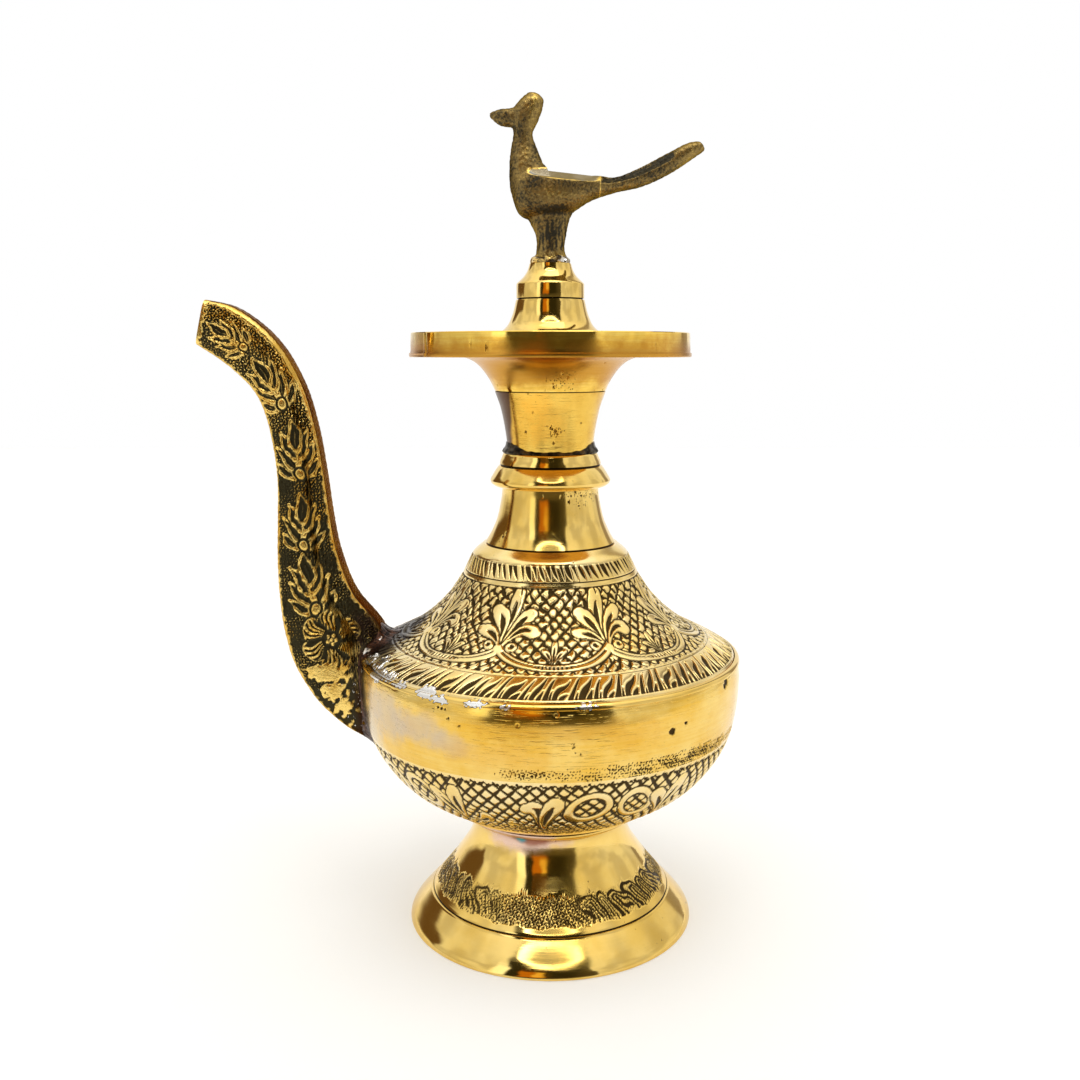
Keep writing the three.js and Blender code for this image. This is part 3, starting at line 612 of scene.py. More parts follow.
# %% Pits and pocks
def pitted(pits, pocks=()):
    """A drawing of casting pits (angle, height, size) and of fields of small pocks
    (angle, height, half length, half height, size, share), for a ring that starts at a height."""
    def drawing(angle, height, radius):
        land = np.ones(len(angle))
        for at, level, size in pits:
            x = arc(angle, at, radius)
            ragged = stipple(x, height, 0.8 * size + 0.3, at) - 0.5
            land = np.minimum(land, 1 - soft(np.hypot(x, height - level) - size + 0.3 * size * ragged, 0.2))
        for at, level, long, tall, size, share in pocks:
            x = arc(angle, at, radius)
            field = np.clip(1.3 - np.hypot(x / long, (height - level) / tall), 0, 1) ** 0.7
            field = field * np.clip(0.25 + 1.4 * stipple(x, height * 2.5, 9, at), 0, 1)
            dots = stipple(x + 40, height, size, at)
            land = np.minimum(land, 1 - soft((1 - share * field - dots) * 4 * size, 0.5) * (field > 0.1))
        return land
    return drawing


def scattered(seed, count, at, level, wide, tall, size):
    """Small pits strewn round a place, thick in its middle."""
    rng = np.random.default_rng(seed)
    spots = rng.normal(0, 0.5, (count, 2)) * (wide, tall) + (at, level)
    return [(a, z, r) for (a, z), r in zip(spots, rng.uniform(0.35, 1.0, count) ** 2 * size)]


def carve_marks(piece, line, pits, pocks=(), depth=0.25):
    """Carves pits and pocks, whose height is the real height in mm."""
    drawing = pitted(pits, pocks)
    run = lengths(line)

    def by_height(angle, up, radius):
        return drawing(angle, np.interp(up, run, line[:, 1]), radius)

    carve(piece, line, by_height, depth)


# %% [markdown]
# ## Brass
# The metal is one alloy, but its surface differs from ring to ring: bright where it was
# polished, coppery where it was brazed, black in the cuts. What all share is the lathe. It
# leaves fine lines round the axis, a cloudy tone and a few casting pits. That wear is one
# node group, which every brass places with its own values.

# %% Wear of turned metal
MID_GOLD = rgb(0.88, 0.63, 0.2)
DEEP_GOLD = rgb(0.8, 0.52, 0.11)
GROUND = rgb(0.045, 0.027, 0.008)
SILVER = rgb(0.86, 0.85, 0.82)
LINES_PER_METRE = 3800
CLOUDS_ROUND = 1.6
SCRATCH_SLANT = math.radians(52)
SCRATCH_SCALE = (150, 400, 3000)


def new_group(name, inputs, masks):
    """A node group with vectors as inputs and with masks as outputs."""
    group = bpy.data.node_groups.new(name, "ShaderNodeTree")
    for label in inputs:
        group.interface.new_socket(name=label, in_out="INPUT", socket_type="NodeSocketVector")
    for label in masks:
        group.interface.new_socket(name=label, in_out="OUTPUT", socket_type="NodeSocketFloat")
    return group, group.nodes.new("NodeGroupInput"), group.nodes.new("NodeGroupOutput")


def make_turned_wear():
    labels = ("Tone", "Pits", "Height", "Streaks", "Scratches")
    tree, given, result = new_group("turned_wear", ["Vector"], labels)
    place = given.outputs["Vector"]
    parts = node(tree, "ShaderNodeSeparateXYZ", Vector=place).outputs
    squares = calc(tree, "ADD", calc(tree, "MULTIPLY", parts["X"], parts["X"]),
                   calc(tree, "MULTIPLY", parts["Y"], parts["Y"]))
    radius = calc(tree, "SQRT", squares)
    safe = calc(tree, "MAXIMUM", radius, 0.001)
    along = calc(tree, "MULTIPLY", calc(tree, "MULTIPLY_ADD", radius, 0.7, parts["Z"]), LINES_PER_METRE)
    round_x = calc(tree, "MULTIPLY", calc(tree, "DIVIDE", parts["X"], safe), CLOUDS_ROUND)
    round_y = calc(tree, "MULTIPLY", calc(tree, "DIVIDE", parts["Y"], safe), CLOUDS_ROUND)
    unrolled = node(tree, "ShaderNodeCombineXYZ", X=along, Y=round_x, Z=round_y).outputs[0]
    lines = speckle(tree, unrolled, 1.0, 3.0, 0.6)
    tone = ramp(tree, speckle(tree, place, 55.0, 5.0, 0.6), 0.3, 0.7)
    pits = ramp(tree, speckle(tree, place, 620.0, 2.0, 0.6), 0.7, 0.76)
    few = ramp(tree, speckle(tree, place, 45.0, 1.0), 0.5, 0.62)
    pits = calc(tree, "MULTIPLY", pits, few)
    height = calc(tree, "SUBTRACT", lines, calc(tree, "MULTIPLY", pits, 3.0))
    broad = node(tree, "ShaderNodeCombineXYZ", X=calc(tree, "MULTIPLY", along, 0.3), Y=round_x, Z=round_y)
    streaks = ramp(tree, speckle(tree, broad.outputs[0], 1.0, 4.0, 0.7), 0.35, 0.65)
    slant = node(tree, "ShaderNodeMapping", Vector=place)
    slant.inputs["Rotation"].default_value = (0, SCRATCH_SLANT, 0)
    slant.inputs["Scale"].default_value = SCRATCH_SCALE
    scratches = ramp(tree, speckle(tree, slant.outputs[0], 1.0, 2.0, 0.6), 0.56, 0.72)
    for label, socket in zip(labels, (tone, pits, height, streaks, scratches)):
        fill(tree, result.inputs[label], socket)
    print("wear of turned metal in", len(tree.nodes), "nodes")
    return tree


TURNED_WEAR = make_turned_wear()

# %% [markdown]
# A brass is built up in layers: the wear of the lathe, the black in the cuts, stains and painted
# reflections, flakes of silver solder, and dark specks on top. Each layer is a function that takes
# the colour and the roughness so far and gives them back with its own laid over them.

# %% Layers of a brass
def start_material(name):
    """A bare metal, and the place on it in metres from the vessel's axis."""
    material = bpy.data.materials.new(name)
    material.use_nodes = True
    tree = material.node_tree
    shader = tree.nodes["Principled BSDF"]
    shader.inputs["Metallic"].default_value = 1.0
    return material, tree, shader, on_axis(tree)


def feed(tree, shader, colour, rough, height, depth):
    """Connects a finish. The bump follows the height, and its depth is in mm."""
    fill(tree, shader.inputs["Base Color"], colour)
    fill(tree, shader.inputs["Roughness"], rough)
    bump = node(tree, "ShaderNodeBump", Strength=1.0, Distance=depth * MM, Height=height)
    fill(tree, shader.inputs["Normal"], bump.outputs[0])


def near_point(tree, place, point, stretch):
    """Distance in metres to a point, with each direction scaled."""
    off = node(tree, "ShaderNodeVectorMath", {"operation": "SUBTRACT"})
    scaled = node(tree, "ShaderNodeVectorMath", {"operation": "MULTIPLY"})
    size = node(tree, "ShaderNodeVectorMath", {"operation": "LENGTH"})
    fill(tree, off.inputs[0], place)
    off.inputs[1].default_value = point
    tree.links.new(off.outputs[0], scaled.inputs[0])
    scaled.inputs[1].default_value = stretch
    tree.links.new(scaled.outputs[0], size.inputs[0])
    return size.outputs["Value"]


def blacken_cuts(tree, place, colour, rough, ground):
    stain = calc(tree, "MULTIPLY_ADD", speckle(tree, place, 900.0, 3.0), 0.3, -0.15)
    clean = ramp(tree, calc(tree, "ADD", attribute(tree, "relief"), stain), 0.25, 0.85)
    return mix(tree, clean, ground, colour), mix(tree, clean, grey(0.45), rough)


def lay_stains_and_reflections(tree, place, colour, rough, stains_and_reflections):
    """Stains of heat, and painted reflections, each (point, stretch, inner radius, outer radius, colour,
    strength).
    """
    cloud = calc(tree, "SUBTRACT", speckle(tree, place, 190.0, 4.0, 0.6), 0.5)
    for point, stretch, inner, outer, tint, strength in stains_and_reflections:
        away = near_point(tree, place, point, stretch)
        away = calc(tree, "MULTIPLY_ADD", cloud, 1.5 * (outer - inner), away)
        share = calc(tree, "MULTIPLY", ramp(tree, away, inner, outer, 1.0, 0.0), strength)
        colour = mix(tree, share, colour, tint)
        rough = mix(tree, share, rough, grey(0.32))
    return colour, rough


def lay_flakes(tree, place, colour, rough, ground):
    """Flakes of silver solder with a dark rim, where the mesh was marked for them."""
    silver = calc(tree, "SUBTRACT", attribute(tree, "silver"), 0.25)
    silver = calc(tree, "MULTIPLY_ADD", speckle(tree, place, 700.0, 3.0), 0.5, silver)
    colour = mix(tree, ramp(tree, silver, 0.1, 0.3), colour, ground)
    colour = mix(tree, ramp(tree, silver, 0.42, 0.5), colour, SILVER)
    return colour, mix(tree, ramp(tree, silver, 0.4, 0.6), rough, grey(0.25))


def lay_specks(tree, place, colour, surface, specks, ground):
    """Fields of dark specks, each (point, stretch, inner radius, outer radius)."""
    for point, stretch, inner, outer in specks:
        share = ramp(tree, near_point(tree, place, point, stretch), inner, outer, 0.4, 0.0)
        cells = node(tree, "ShaderNodeTexVoronoi", Vector=place, Scale=1900.0).outputs
        chosen = node(tree, "ShaderNodeSeparateColor", Color=cells["Color"]).outputs[0]
        dots = calc(tree, "MULTIPLY", ramp(tree, calc(tree, "SUBTRACT", share, chosen), 0.0, 0.02),
                    ramp(tree, cells["Distance"], 0.2, 0.45, 1.0, 0.0))
        colour = mix(tree, dots, colour, ground)
        surface = calc(tree, "MULTIPLY_ADD", dots, -3.0, surface)
    return colour, surface


# %% One brass from its layers
def brass(name, light, deep, gloss=(0.06, 0.15), line_depth=0.008, ground=GROUND, stains_and_reflections=(), streaks=0.0,
          scratched=0.0, specks=()):
    """Brass with all its layers. gloss is the roughness of its clean and of its dull places,
    line_depth is the depth of the turned lines in mm, streaks is how much those lines show in
    the colour, and scratched is how deep the scratches are beside the lines."""
    material, tree, shader, place = start_material(name)
    wear = node(tree, "ShaderNodeGroup", {"node_tree": TURNED_WEAR}, Vector=place).outputs
    tone = calc(tree, "MULTIPLY", wear["Tone"], 1 - streaks)
    tone = calc(tree, "MULTIPLY_ADD", wear["Streaks"], streaks, tone)
    colour = mix(tree, tone, light, deep)
    colour = mix(tree, calc(tree, "MULTIPLY", wear["Pits"], 0.8), colour, ground)
    rough = ramp(tree, wear["Tone"], 0.0, 1.0, *gloss)
    colour, rough = blacken_cuts(tree, place, colour, rough, ground)
    colour, rough = lay_stains_and_reflections(tree, place, colour, rough, stains_and_reflections)
    colour, rough = lay_flakes(tree, place, colour, rough, ground)
    colour, surface = lay_specks(tree, place, colour, wear["Height"], specks, ground)
    if scratched:
        surface = calc(tree, "MULTIPLY_ADD", wear["Scratches"], -scratched, surface)
    feed(tree, shader, colour, rough, surface, line_depth)
    return material


# %% [markdown]
# There is soot and a brownish haze at the spout's root, pink and a spot of blue-green at the
# foot's braze, and a coppery tone under the brim. The orange patches on the belt's front are a
# painted reflection of the orange in front of the pot.

# %% Stains and specks
SPOUT_ROOT = (-0.051, -0.001, 0.079)
SOOT = (SPOUT_ROOT, (1, 1, 0.7), 0.014, 0.0225, rgb(0.03, 0.022, 0.02), 0.95)
HAZE = rgb(0.55, 0.47, 0.39)
HAZES = [
    ((-0.049, -0.02, 0.067), (1, 1, 1.1), 0.006, 0.014, HAZE, 0.6),
    ((-0.042, -0.0325, 0.0695), (1, 1, 1.5), 0.005, 0.013, HAZE, 0.6),
    ((-0.034, -0.041, 0.069), (0.9, 0.9, 1.8), 0.004, 0.012, HAZE, 0.55),
    ((-0.026, -0.0465, 0.067), (0.9, 0.9, 2.0), 0.002, 0.01, HAZE, 0.45),
]
# Orange patches on the belt's front: a painted reflection of the orange in front of the pot.
ORANGE_REFLECTION = rgb(0.72, 0.36, 0.03)
PAINTED_ORANGE_REFLECTIONS = [
    ((0, -0.053, 0.0725), (0.3, 0.3, 2.2), 0.002, 0.01, ORANGE_REFLECTION, 0.45),
    ((-0.012, -0.051, 0.065), (0.5, 0.5, 1.2), 0.001, 0.009, ORANGE_REFLECTION, 0.4),
    ((0.02, -0.048, 0.07), (0.6, 0.6, 1.4), 0.001, 0.008, ORANGE_REFLECTION, 0.35),
]
BRAZE_PINK = [
    ((-0.009, -0.022, 0.0305), (0.5, 0.5, 1.5), 0.004, 0.0085, rgb(0.78, 0.56, 0.5), 0.85),
    ((-0.0055, -0.0225, 0.0305), (0.6, 0.6, 2.2), 0.002, 0.0052, rgb(0.3, 0.1, 0.06), 0.85),
    ((-0.0086, -0.0215, 0.0302), (0.9, 0.9, 1.1), 0.0006, 0.0022, rgb(0.02, 0.4, 0.5), 1.0),
]
CUP_AND_BRIM_TONES = [
    ((0, 0, 0.1585), (0.001, 0.001, 1), 0.003, 0.0085, rgb(0.5, 0.21, 0.02), 0.8),
    # A dark band with a straight edge down the left side of the cup.
    ((-0.0146, -0.004, 0.143), (1, 0.01, 0.01), 0.0036, 0.0046, rgb(0.075, 0.034, 0.02), 0.95),
    ((-0.003, -0.013, 0.146), (1, 1, 0.7), 0.0, 0.009, rgb(1.0, 0.52, 0.06), 0.7),
]
CUP_SPECKS = [((0.001, -0.0125, 0.141), (1, 1, 1.4), 0.0005, 0.0035)]
FUNNEL_SPECKS = [((0.0035, -0.0165, 0.154), (0.7, 1, 1), 0.001, 0.005)]
NECK_SPECKS = [((0.0085, -0.0105, 0.1235), (0.7, 0.7, 1.4), 0.002, 0.006)]
# The count includes the painted orange reflections.
print(len(HAZES) + len(PAINTED_ORANGE_REFLECTIONS) + len(BRAZE_PINK) + len(CUP_AND_BRIM_TONES) + 1, "stains_and_reflections")

# %% The brasses of this pot
POLISHED = brass("polished_brass", MID_GOLD, DEEP_GOLD)
FOOT_BRASS = brass("foot_brass", MID_GOLD, DEEP_GOLD, stains_and_reflections=BRAZE_PINK)
NECK_BRASS = brass("neck_brass", MID_GOLD, DEEP_GOLD, specks=NECK_SPECKS)
CHASED = brass("chased_brass", rgb(0.95, 0.77, 0.4), rgb(0.9, 0.64, 0.2), gloss=(0.1, 0.2),
               ground=rgb(0.06, 0.038, 0.012), stains_and_reflections=[SOOT])
# The belt's stains include the painted orange reflections on its front.
BELT_BRASS = brass("belt_brass", rgb(0.88, 0.65, 0.21), rgb(0.78, 0.46, 0.055), gloss=(0.05, 0.13),
                   line_depth=0.014, stains_and_reflections=[*HAZES, *PAINTED_ORANGE_REFLECTIONS, SOOT], streaks=0.25, scratched=2.2)
SATIN = brass("satin_brass", rgb(0.87, 0.58, 0.115), rgb(0.64, 0.34, 0.036), gloss=(0.1, 0.2),
              line_depth=0.02, stains_and_reflections=CUP_AND_BRIM_TONES, streaks=0.1, scratched=1.2, specks=CUP_SPECKS)
DISC_BRASS = brass("disc_brass", rgb(0.97, 0.7, 0.16), rgb(0.85, 0.52, 0.07), gloss=(0.015, 0.03),
                   line_depth=0.004, stains_and_reflections=CUP_AND_BRIM_TONES[:1], streaks=0.8, specks=FUNNEL_SPECKS)
for made in (POLISHED, FOOT_BRASS, NECK_BRASS, CHASED, BELT_BRASS, SATIN, DISC_BRASS):
    print(made.name, "in", len(made.node_tree.nodes), "nodes")

# %% [markdown]
# The ring under the cup is a solder that was left as it ran. It is dull and black, and its tone
# changes from lump to lump.

# %% Black solder
def solder(name, light, dark):
    material, tree, shader, place = start_material(name)
    lumps = speckle(tree, place, 420.0, 4.0, 0.65)
    colour = mix(tree, ramp(tree, lumps, 0.35, 0.65), dark, light)
    feed(tree, shader, colour, ramp(tree, lumps, 0.3, 0.7, 0.65, 0.3), lumps, 0.15)
    return material


BLACK_SOLDER = solder("black_solder", rgb(0.12, 0.1, 0.07), rgb(0.015, 0.013, 0.01))
print(BLACK_SOLDER.name, "in", len(BLACK_SOLDER.node_tree.nodes), "nodes")

# %% [markdown]
# ## Inner walls
# The rings are about two millimetres thick. The inner wall is the outline moved sideways, in
# coarse steps, because only a little of it is ever seen.

# %% Walls
# Points round a ring that is carved, marked with pits, or plain.
CARVED_COLUMNS = 1000
MARKED_COLUMNS = 640
PLAIN_COLUMNS = 256

# Steps along an outline, outside and inside, in mm.
FINE = 0.3
COARSE = 5


def moved_in(line, wall):
    """The outline moved towards the axis by the wall, from its end back to its start."""
    line = even_line(line, COARSE)
    tangent = np.gradient(line, axis=0)
    tangent /= np.hypot(*tangent.T)[:, None]
    away = np.column_stack([tangent[:, 1], -tangent[:, 0]])
    if np.mean(away[:, 0]) < 0:
        away = -away
    return (line - away * wall)[::-1]


def between(line, low, high):
    """The stretch of a rising outline between two heights, cut exactly there."""
    ends = [[np.interp(h, line[:, 1], line[:, 0]), h] for h in (low, high)]
    inside = line[(line[:, 1] > low + 0.02) & (line[:, 1] < high - 0.02)]
    return np.vstack([ends[0], inside, ends[1]])


# %% [markdown]
# ## Foot
# A hollow flared cone over a bevelled rim. A fine groove parts the two, and above the groove
# runs a band of punched scales, worn almost flat.

# %% Turn the foot
FOOT_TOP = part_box("foot")[1].z / MM
FOOT_WALL = 2.0
FOOT_RIM = [(40.4, 0), (40.83, 0.2), (40.8, 0.5), (40.68, 0.9), (40.4, 1.5), (40.04, 2.1), (39.55, 2.75),
            (38.4, 4.15), (37.05, 5.6), (35.75, 6.95), (34.5, 8.2)]
FOOT_GROOVE = [(34.4, 8.45), (34.0, 8.55), (33.85, 8.75), (34.0, 8.95)]
FOOT_FLARE = [(34.0, 9.0), (32.6, 10.65), (31.3, 12.3), (29.5, 14.6), (27.75, 17.0), (25.9, 19.6),
              (24.15, 22.2), (23.0, 24.5), (22.3, 26.5), (21.9, 28.5), (21.9, 29.8), (22.5, 31.2),
              (23.9, FOOT_TOP)]
SCALE_BAND = (10.2, 17.2)
SCALES = 36
SCALE_TALL = 6.6
SCALE_DEPTH = 0.3


def scale_wear(angle):
    """How clear the scales still are, round the foot."""
    clear = 0.3 + 0.7 * np.clip(1 - np.abs(turned_to(angle, 50)) / 38, 0, 1) ** 0.5
    clear = np.maximum(clear, 0.55 * np.clip(-turned_to(angle, 0) / 20 - 0.6, 0, 1) * (angle > -90))
    return np.maximum(clear, 0.3 + 0.5 * np.clip(np.abs(turned_to(angle, 20)) / 40 - 2, 0, 1))


def foot_scales(angle, run, radius):
    """Slanted arches in a row, worn down and overlaid with punched dots."""
    drift = 0.35 * np.sin(angle * 0.31) + 0.2 * np.sin(angle * 0.83 + 2)
    up = run - 1.6 - drift
    rise = np.clip(up / SCALE_TALL, 0, 1)
    pitch = 360 / SCALES
    along = angle * DEGREE * 31
    wander = 0.9 * (stipple(along, run, 5.0, 0.8) - 0.5)
    share = (angle + 8 * rise + 2.2 * np.sin(angle * 0.21) + 1.2 * wander) / pitch
    across = (share - np.floor(share) - 0.5) * pitch * DEGREE * radius
    wide = pitch * DEGREE * radius * 0.5
    crown = np.hypot(across / wide, np.maximum(up - SCALE_TALL * 0.55, 0) / (SCALE_TALL * 0.45))
    clear = scale_wear(angle)
    cuts = np.minimum(np.abs(crown - 0.93) * wide - 0.3, np.abs(crown - 0.5) * wide - 0.22)
    stem = stroke(across, up, [(0.1, 0.4), (-0.1, 4.2)], (0.5, 0.3))
    cuts = np.minimum(cuts, stem) + 0.6 * wander * (1 - clear)
    land = (1 - clear * soft(cuts, 0.2)) * pillow(cuts, 0.4, 0.75)
    dots = stipple(along, run, 0.75, 0.3)
    left = np.clip(-turned_to(angle, 0) / 20 - 1, 0, 1)
    borders = np.clip(np.abs(run - 3.7) / 4.0, 0, 1) ** 3
    often = 0.4 + 0.26 * clear + 0.16 * left + 0.12 * wander + 0.2 * borders
    land = np.minimum(land, 1 - (1 - 0.4 * clear) * soft((often - dots) * 4, 0.6))
    outside = soft(up + 1.1) + soft(SCALE_TALL + 0.3 - up)
    return np.maximum(land, outside)


flare = smooth_line(FOOT_FLARE, FINE)
foot_outside = np.vstack([
    smooth_line(FOOT_RIM[1:], 0.45),
    FOOT_GROOVE,
    between(flare, FOOT_GROOVE[-1][1] + 0.3, SCALE_BAND[0]),
    between(flare, *SCALE_BAND)[1:],
    even_line(between(flare, SCALE_BAND[1], FOOT_TOP), 0.8)[1:],
])
foot_inside = moved_in(between(flare, 8, FOOT_TOP), FOOT_WALL)
foot_outline = np.vstack([FOOT_RIM[:1], foot_outside, foot_inside, [(37.7, 0.0)]])
foot = finished("foot", spin(foot_outline, CARVED_COLUMNS, [FOOT_GROOVE[1], FOOT_GROOVE[2]]), "vessel",
                FOOT_BRASS, ["foot"])
carve(foot, between(flare, *SCALE_BAND), foot_scales, SCALE_DEPTH)

# %% [markdown]
# ## Lower bowl
# The bowl is an oval shell. Its upper part is the plain belt of the belly. Below a rough line
# comes a wide band of lattice with leaves and loops, and then the seat on the foot.

# %% Turn the bowl
BOWL_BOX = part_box("lower_bowl")
BOWL_TOP = BOWL_BOX[1].z / MM
BELLY = (BOWL_BOX[1].x - BOWL_BOX[0].x) / 2 / MM
BOWL_WALL = 2.2
BOWL_FLOOR = 2.6
BELLY_HEIGHT = 72.4
BOWL_RIM = BOWL_TOP - 0.8
BOWL_FLANK = [(24.1, FOOT_TOP), (27.0, 34.2), (30.4, 35.7), (33.0, 37.5), (37.6, 40.2), (41.5, 43.1),
              (44.5, 46.1), (47.5, 50), (49.8, 54), (51.5, 58.5), (52.3, 62.5), (52.9, 67),
              (BELLY, BELLY_HEIGHT), (BELLY, BOWL_RIM)]
BELT_FOOT = 58.6
BOWL_REPEATS = 5
BOWL_START = -1.9
BOWL_EDGE = 37.4
BOWL_SEAT = 10.4
LEFT_LEAVES = [((-0.3, 0.5), (-7.5, 1.2), (-7.2, 4.8), 1.8), ((-0.2, 0), (1.8, 15.5), (-3.0, 12.9), 2.4),
               ((0.3, 0), (1.8, 11), (4.2, 15.4), 2.5)]
RIGHT_LEAVES = [((-0.3, 0.5), (-1.2, 7), (-5.0, 12.6), 2.3), ((0.2, 0.5), (0.2, 9), (1.9, 14.6), 2.4),
                ((0.3, 0.4), (7.0, 0.4), (7.4, 5.2), 1.9)]
LOOPS = [(13.6, 6.2, 6.2, 0.2), (29.6, 5.4, 6.6, -0.2)]


def hand_drift(angle, run):
    """A slow wander in mm, which keeps repeats from being copies."""
    return 0.28 * np.sin(angle * 0.11 + run * 0.35) + 0.2 * np.sin(angle * 0.23 - run * 0.21 + 1.7)


def bowl_band(angle, run, radius):
    """Lattice with two kinds of leaf and a pair of loops, five times round."""
    drift = hand_drift(angle, run)
    land = lattice(angle * DEGREE * 44 + drift, run + drift, 3.2, 4.2, 0.4 + 0.1 * np.sin(angle * 1.3 + run))
    for repeat in range(BOWL_REPEATS):
        start = BOWL_START + 360 / BOWL_REPEATS * repeat
        y = run - 16.5 + drift
        land = draw_leaves(land, arc(angle, start - 1.3, radius) + drift, y, LEFT_LEAVES)
        for middle, wide, tall, tilt in LOOPS:
            a = arc(angle, start + middle, radius) + drift
            oval = np.hypot(a / wide, (y - 12.2 - tilt * a) / tall)
            ring = np.abs(oval - 0.84) * tall
            land = land * (1 - soft(ring - 1.5))
            land = np.maximum(land, soft(ring - 1.05) * pillow(1.05 - ring))
        land = draw_leaves(land, arc(angle, start + 42.4, radius) + drift, y - 2.2, RIGHT_LEAVES)
    edge = BOWL_EDGE + 0.3 * np.sin(angle * 1.9) + 0.25 * np.sin(angle * 4.7 + 1)
    land = land * (1 - soft(np.abs(run - edge) - 0.32))
    land = np.maximum(land, soft(edge + 0.35 - run))
    seat = BOWL_SEAT + 0.4 * np.sin(angle * 1.3) + 0.3 * np.sin(angle * 3.1)
    land = land * (1 - soft(np.abs(run - seat) - 0.3))
    return np.maximum(land, soft(run - seat + 0.3, 0.2))


bowl_line = smooth_line(BOWL_FLANK, FINE)
bowl_low = between(bowl_line, FOOT_TOP, BELT_FOOT)
bowl_low_inside = moved_in(between(bowl_line, FOOT_TOP + BOWL_FLOOR, BELT_FOOT), BOWL_WALL)
bowl_low_inside[0] = (bowl_low[-1][0] - BOWL_WALL, BELT_FOOT)
SPIGOT = 19.7
SPIGOT_WALL = 1.9
SPIGOT_DEPTH = 3
BOWL_COLUMNS = 920
bowl_outline = np.vstack([
    [(0, FOOT_TOP), (SPIGOT - SPIGOT_WALL, FOOT_TOP), (SPIGOT - SPIGOT_WALL, FOOT_TOP - SPIGOT_DEPTH),
     (SPIGOT, FOOT_TOP - SPIGOT_DEPTH), (SPIGOT, FOOT_TOP)],
    even_line(bowl_low, 0.41), bowl_low_inside, [(0, FOOT_TOP + BOWL_FLOOR)],
])
bowl = finished("lower_bowl", spin(bowl_outline, BOWL_COLUMNS), "vessel", CHASED,
                ["lower_bowl"])
carve(bowl, bowl_low, bowl_band, CHASING_DEPTH)

# %% [markdown]
# The belt was brushed, not polished. Just above the lower band the chaser's punch left rows of
# dots, mostly on the right, and casting pits were never filled.

# %% Turn and mark the belt
PITS = [(34.8, 68.9, 0.95), (39.8, 70.2, 0.5), (-28.0, 73.4, 0.35), (-24.6, 72.0, 0.3), (-8.5, 73.6, 0.3),
        (8.0, 66.2, 0.25), (61.3, 76.4, 1.0), (59.7, 75.5, 0.7), (-31.5, 75.7, 0.35), (-30.3, 75.6, 0.4),
        (-29.2, 75.5, 0.3), (1.5, 76.1, 0.4), (150, 68, 0.6), (153, 66.5, 0.35), (96, 72, 0.4),
        (-160, 70, 0.5)]
POCKS = [(36, 60.4, 27, 2.0, 0.75, 0.62), (-6, 60.6, 7, 1.3, 0.75, 0.5), (-150, 61, 16, 1.4, 0.8, 0.5)]
BELT_ROUND = 0.6

belt_line = between(bowl_line, BELT_FOOT, BOWL_RIM)
belt_line[:, 0] -= BELT_ROUND * (np.clip(belt_line[:, 1] - BELLY_HEIGHT, 0, 9) / 4.2) ** 2
belt_inside = moved_in(belt_line, BOWL_WALL)
belt_inside[0][1] = BOWL_TOP
belt_inside[-1] = (bowl_low[-1][0] - BOWL_WALL, BELT_FOOT)
belt_lip = [(BELLY - 0.85, BOWL_TOP - 0.25), (BELLY - 1.4, BOWL_TOP)]
belt_outline = np.vstack([even_line(belt_line, 0.33), belt_lip, belt_inside])
belt = finished("belly_belt", spin(belt_outline, CARVED_COLUMNS), "vessel", BELT_BRASS)
carve_marks(belt, belt_line, PITS, POCKS, PIT_DEPTH)

# %% [markdown]
# ## Shoulder
# The shoulder carries the richest work. From the belly up there is a plain edge, a band of
# comma-shaped flutes, the wide chased cone, and a narrow band of slanted strokes. On the cone,
# eight palmettes stand on swags that hang between them, over a lattice of small diamonds.
# The shoulder is cut into three rings at its real grooves, so that each stays light.

# %% The shoulder's outline and bands
SHOULDER_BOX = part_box("shoulder")
SHOULDER_TOP = SHOULDER_BOX[1].z / MM
SHOULDER_WALL = 2.2
SHOULDER_SPIGOT = 4
SPIGOT_PLAY = 0.15
SHOULDER_FLANK = [(51.8, BOWL_TOP), (51.4, 79.0), (47.8, 81.3), (43.4, 83.5), (38.7, 86), (34.6, 89),
                  (31.3, 92), (28.3, 95.2), (26.4, 98), (24.5, 101), (23.0, 104), (21.4, 107),
                  (18.6, SHOULDER_TOP)]
FLUTE_BAND = (79.35, 83.2)
CONE_BAND = (83.2, 102.1)
STROKE_BAND = (102.1, 106.6)
REPEATS = 8
FIRST_PALMETTE = 24.1
FLUTES = 104
FLUTE_DEPTH = 0.5
STROKES = 80
STROKE_DEPTH = 0.35
print("shoulder from", round(BOWL_TOP, 1), "to", round(SHOULDER_TOP, 1), "mm")

# %% [markdown]
# The flutes on the edge are long and short in turn, and no two are quite alike. Silver solder
# ran over them along the seam and stayed there in flakes.

# %% Flutes and flakes
def fluted(angle, run, radius):
    """Long thin cuts that bend to the right at their tip, and short ones between their feet."""
    pitch = 360 / FLUTES
    hand = 0.14 * np.sin(angle * 0.9) + 0.1 * np.sin(angle * 0.37 + 1)
    land = np.ones(len(angle))
    for offset, height, wide, lean in ((0.0, 7.2, 0.78, 4.4), (0.52, 2.6, 0.42, 1.2)):
        rise = np.clip((run - 0.1) / (height + 0.7 * np.sin(angle * 0.53 + 2)), 0, 1)
        share = (angle - lean * rise**1.4) / pitch + offset + hand
        across = np.abs(share - np.floor(share) - 0.5) * pitch * DEGREE * radius
        half = wide * (1 - 0.45 * rise - 0.55 * rise**3) * (0.9 + 0.15 * np.sin(angle * 0.61 + 2)) + 0.02
        cut = np.maximum(across - half, 0.15 - run)
        cut = np.where(rise < 1, cut, 1.0)
        land = np.minimum(land, (1 - soft(cut, 0.13)) * pillow(cut, 0.3, 0.7))
    line = np.abs(run - 7.75) - 0.12
    return land * (1 - 0.7 * soft(line, 0.12))


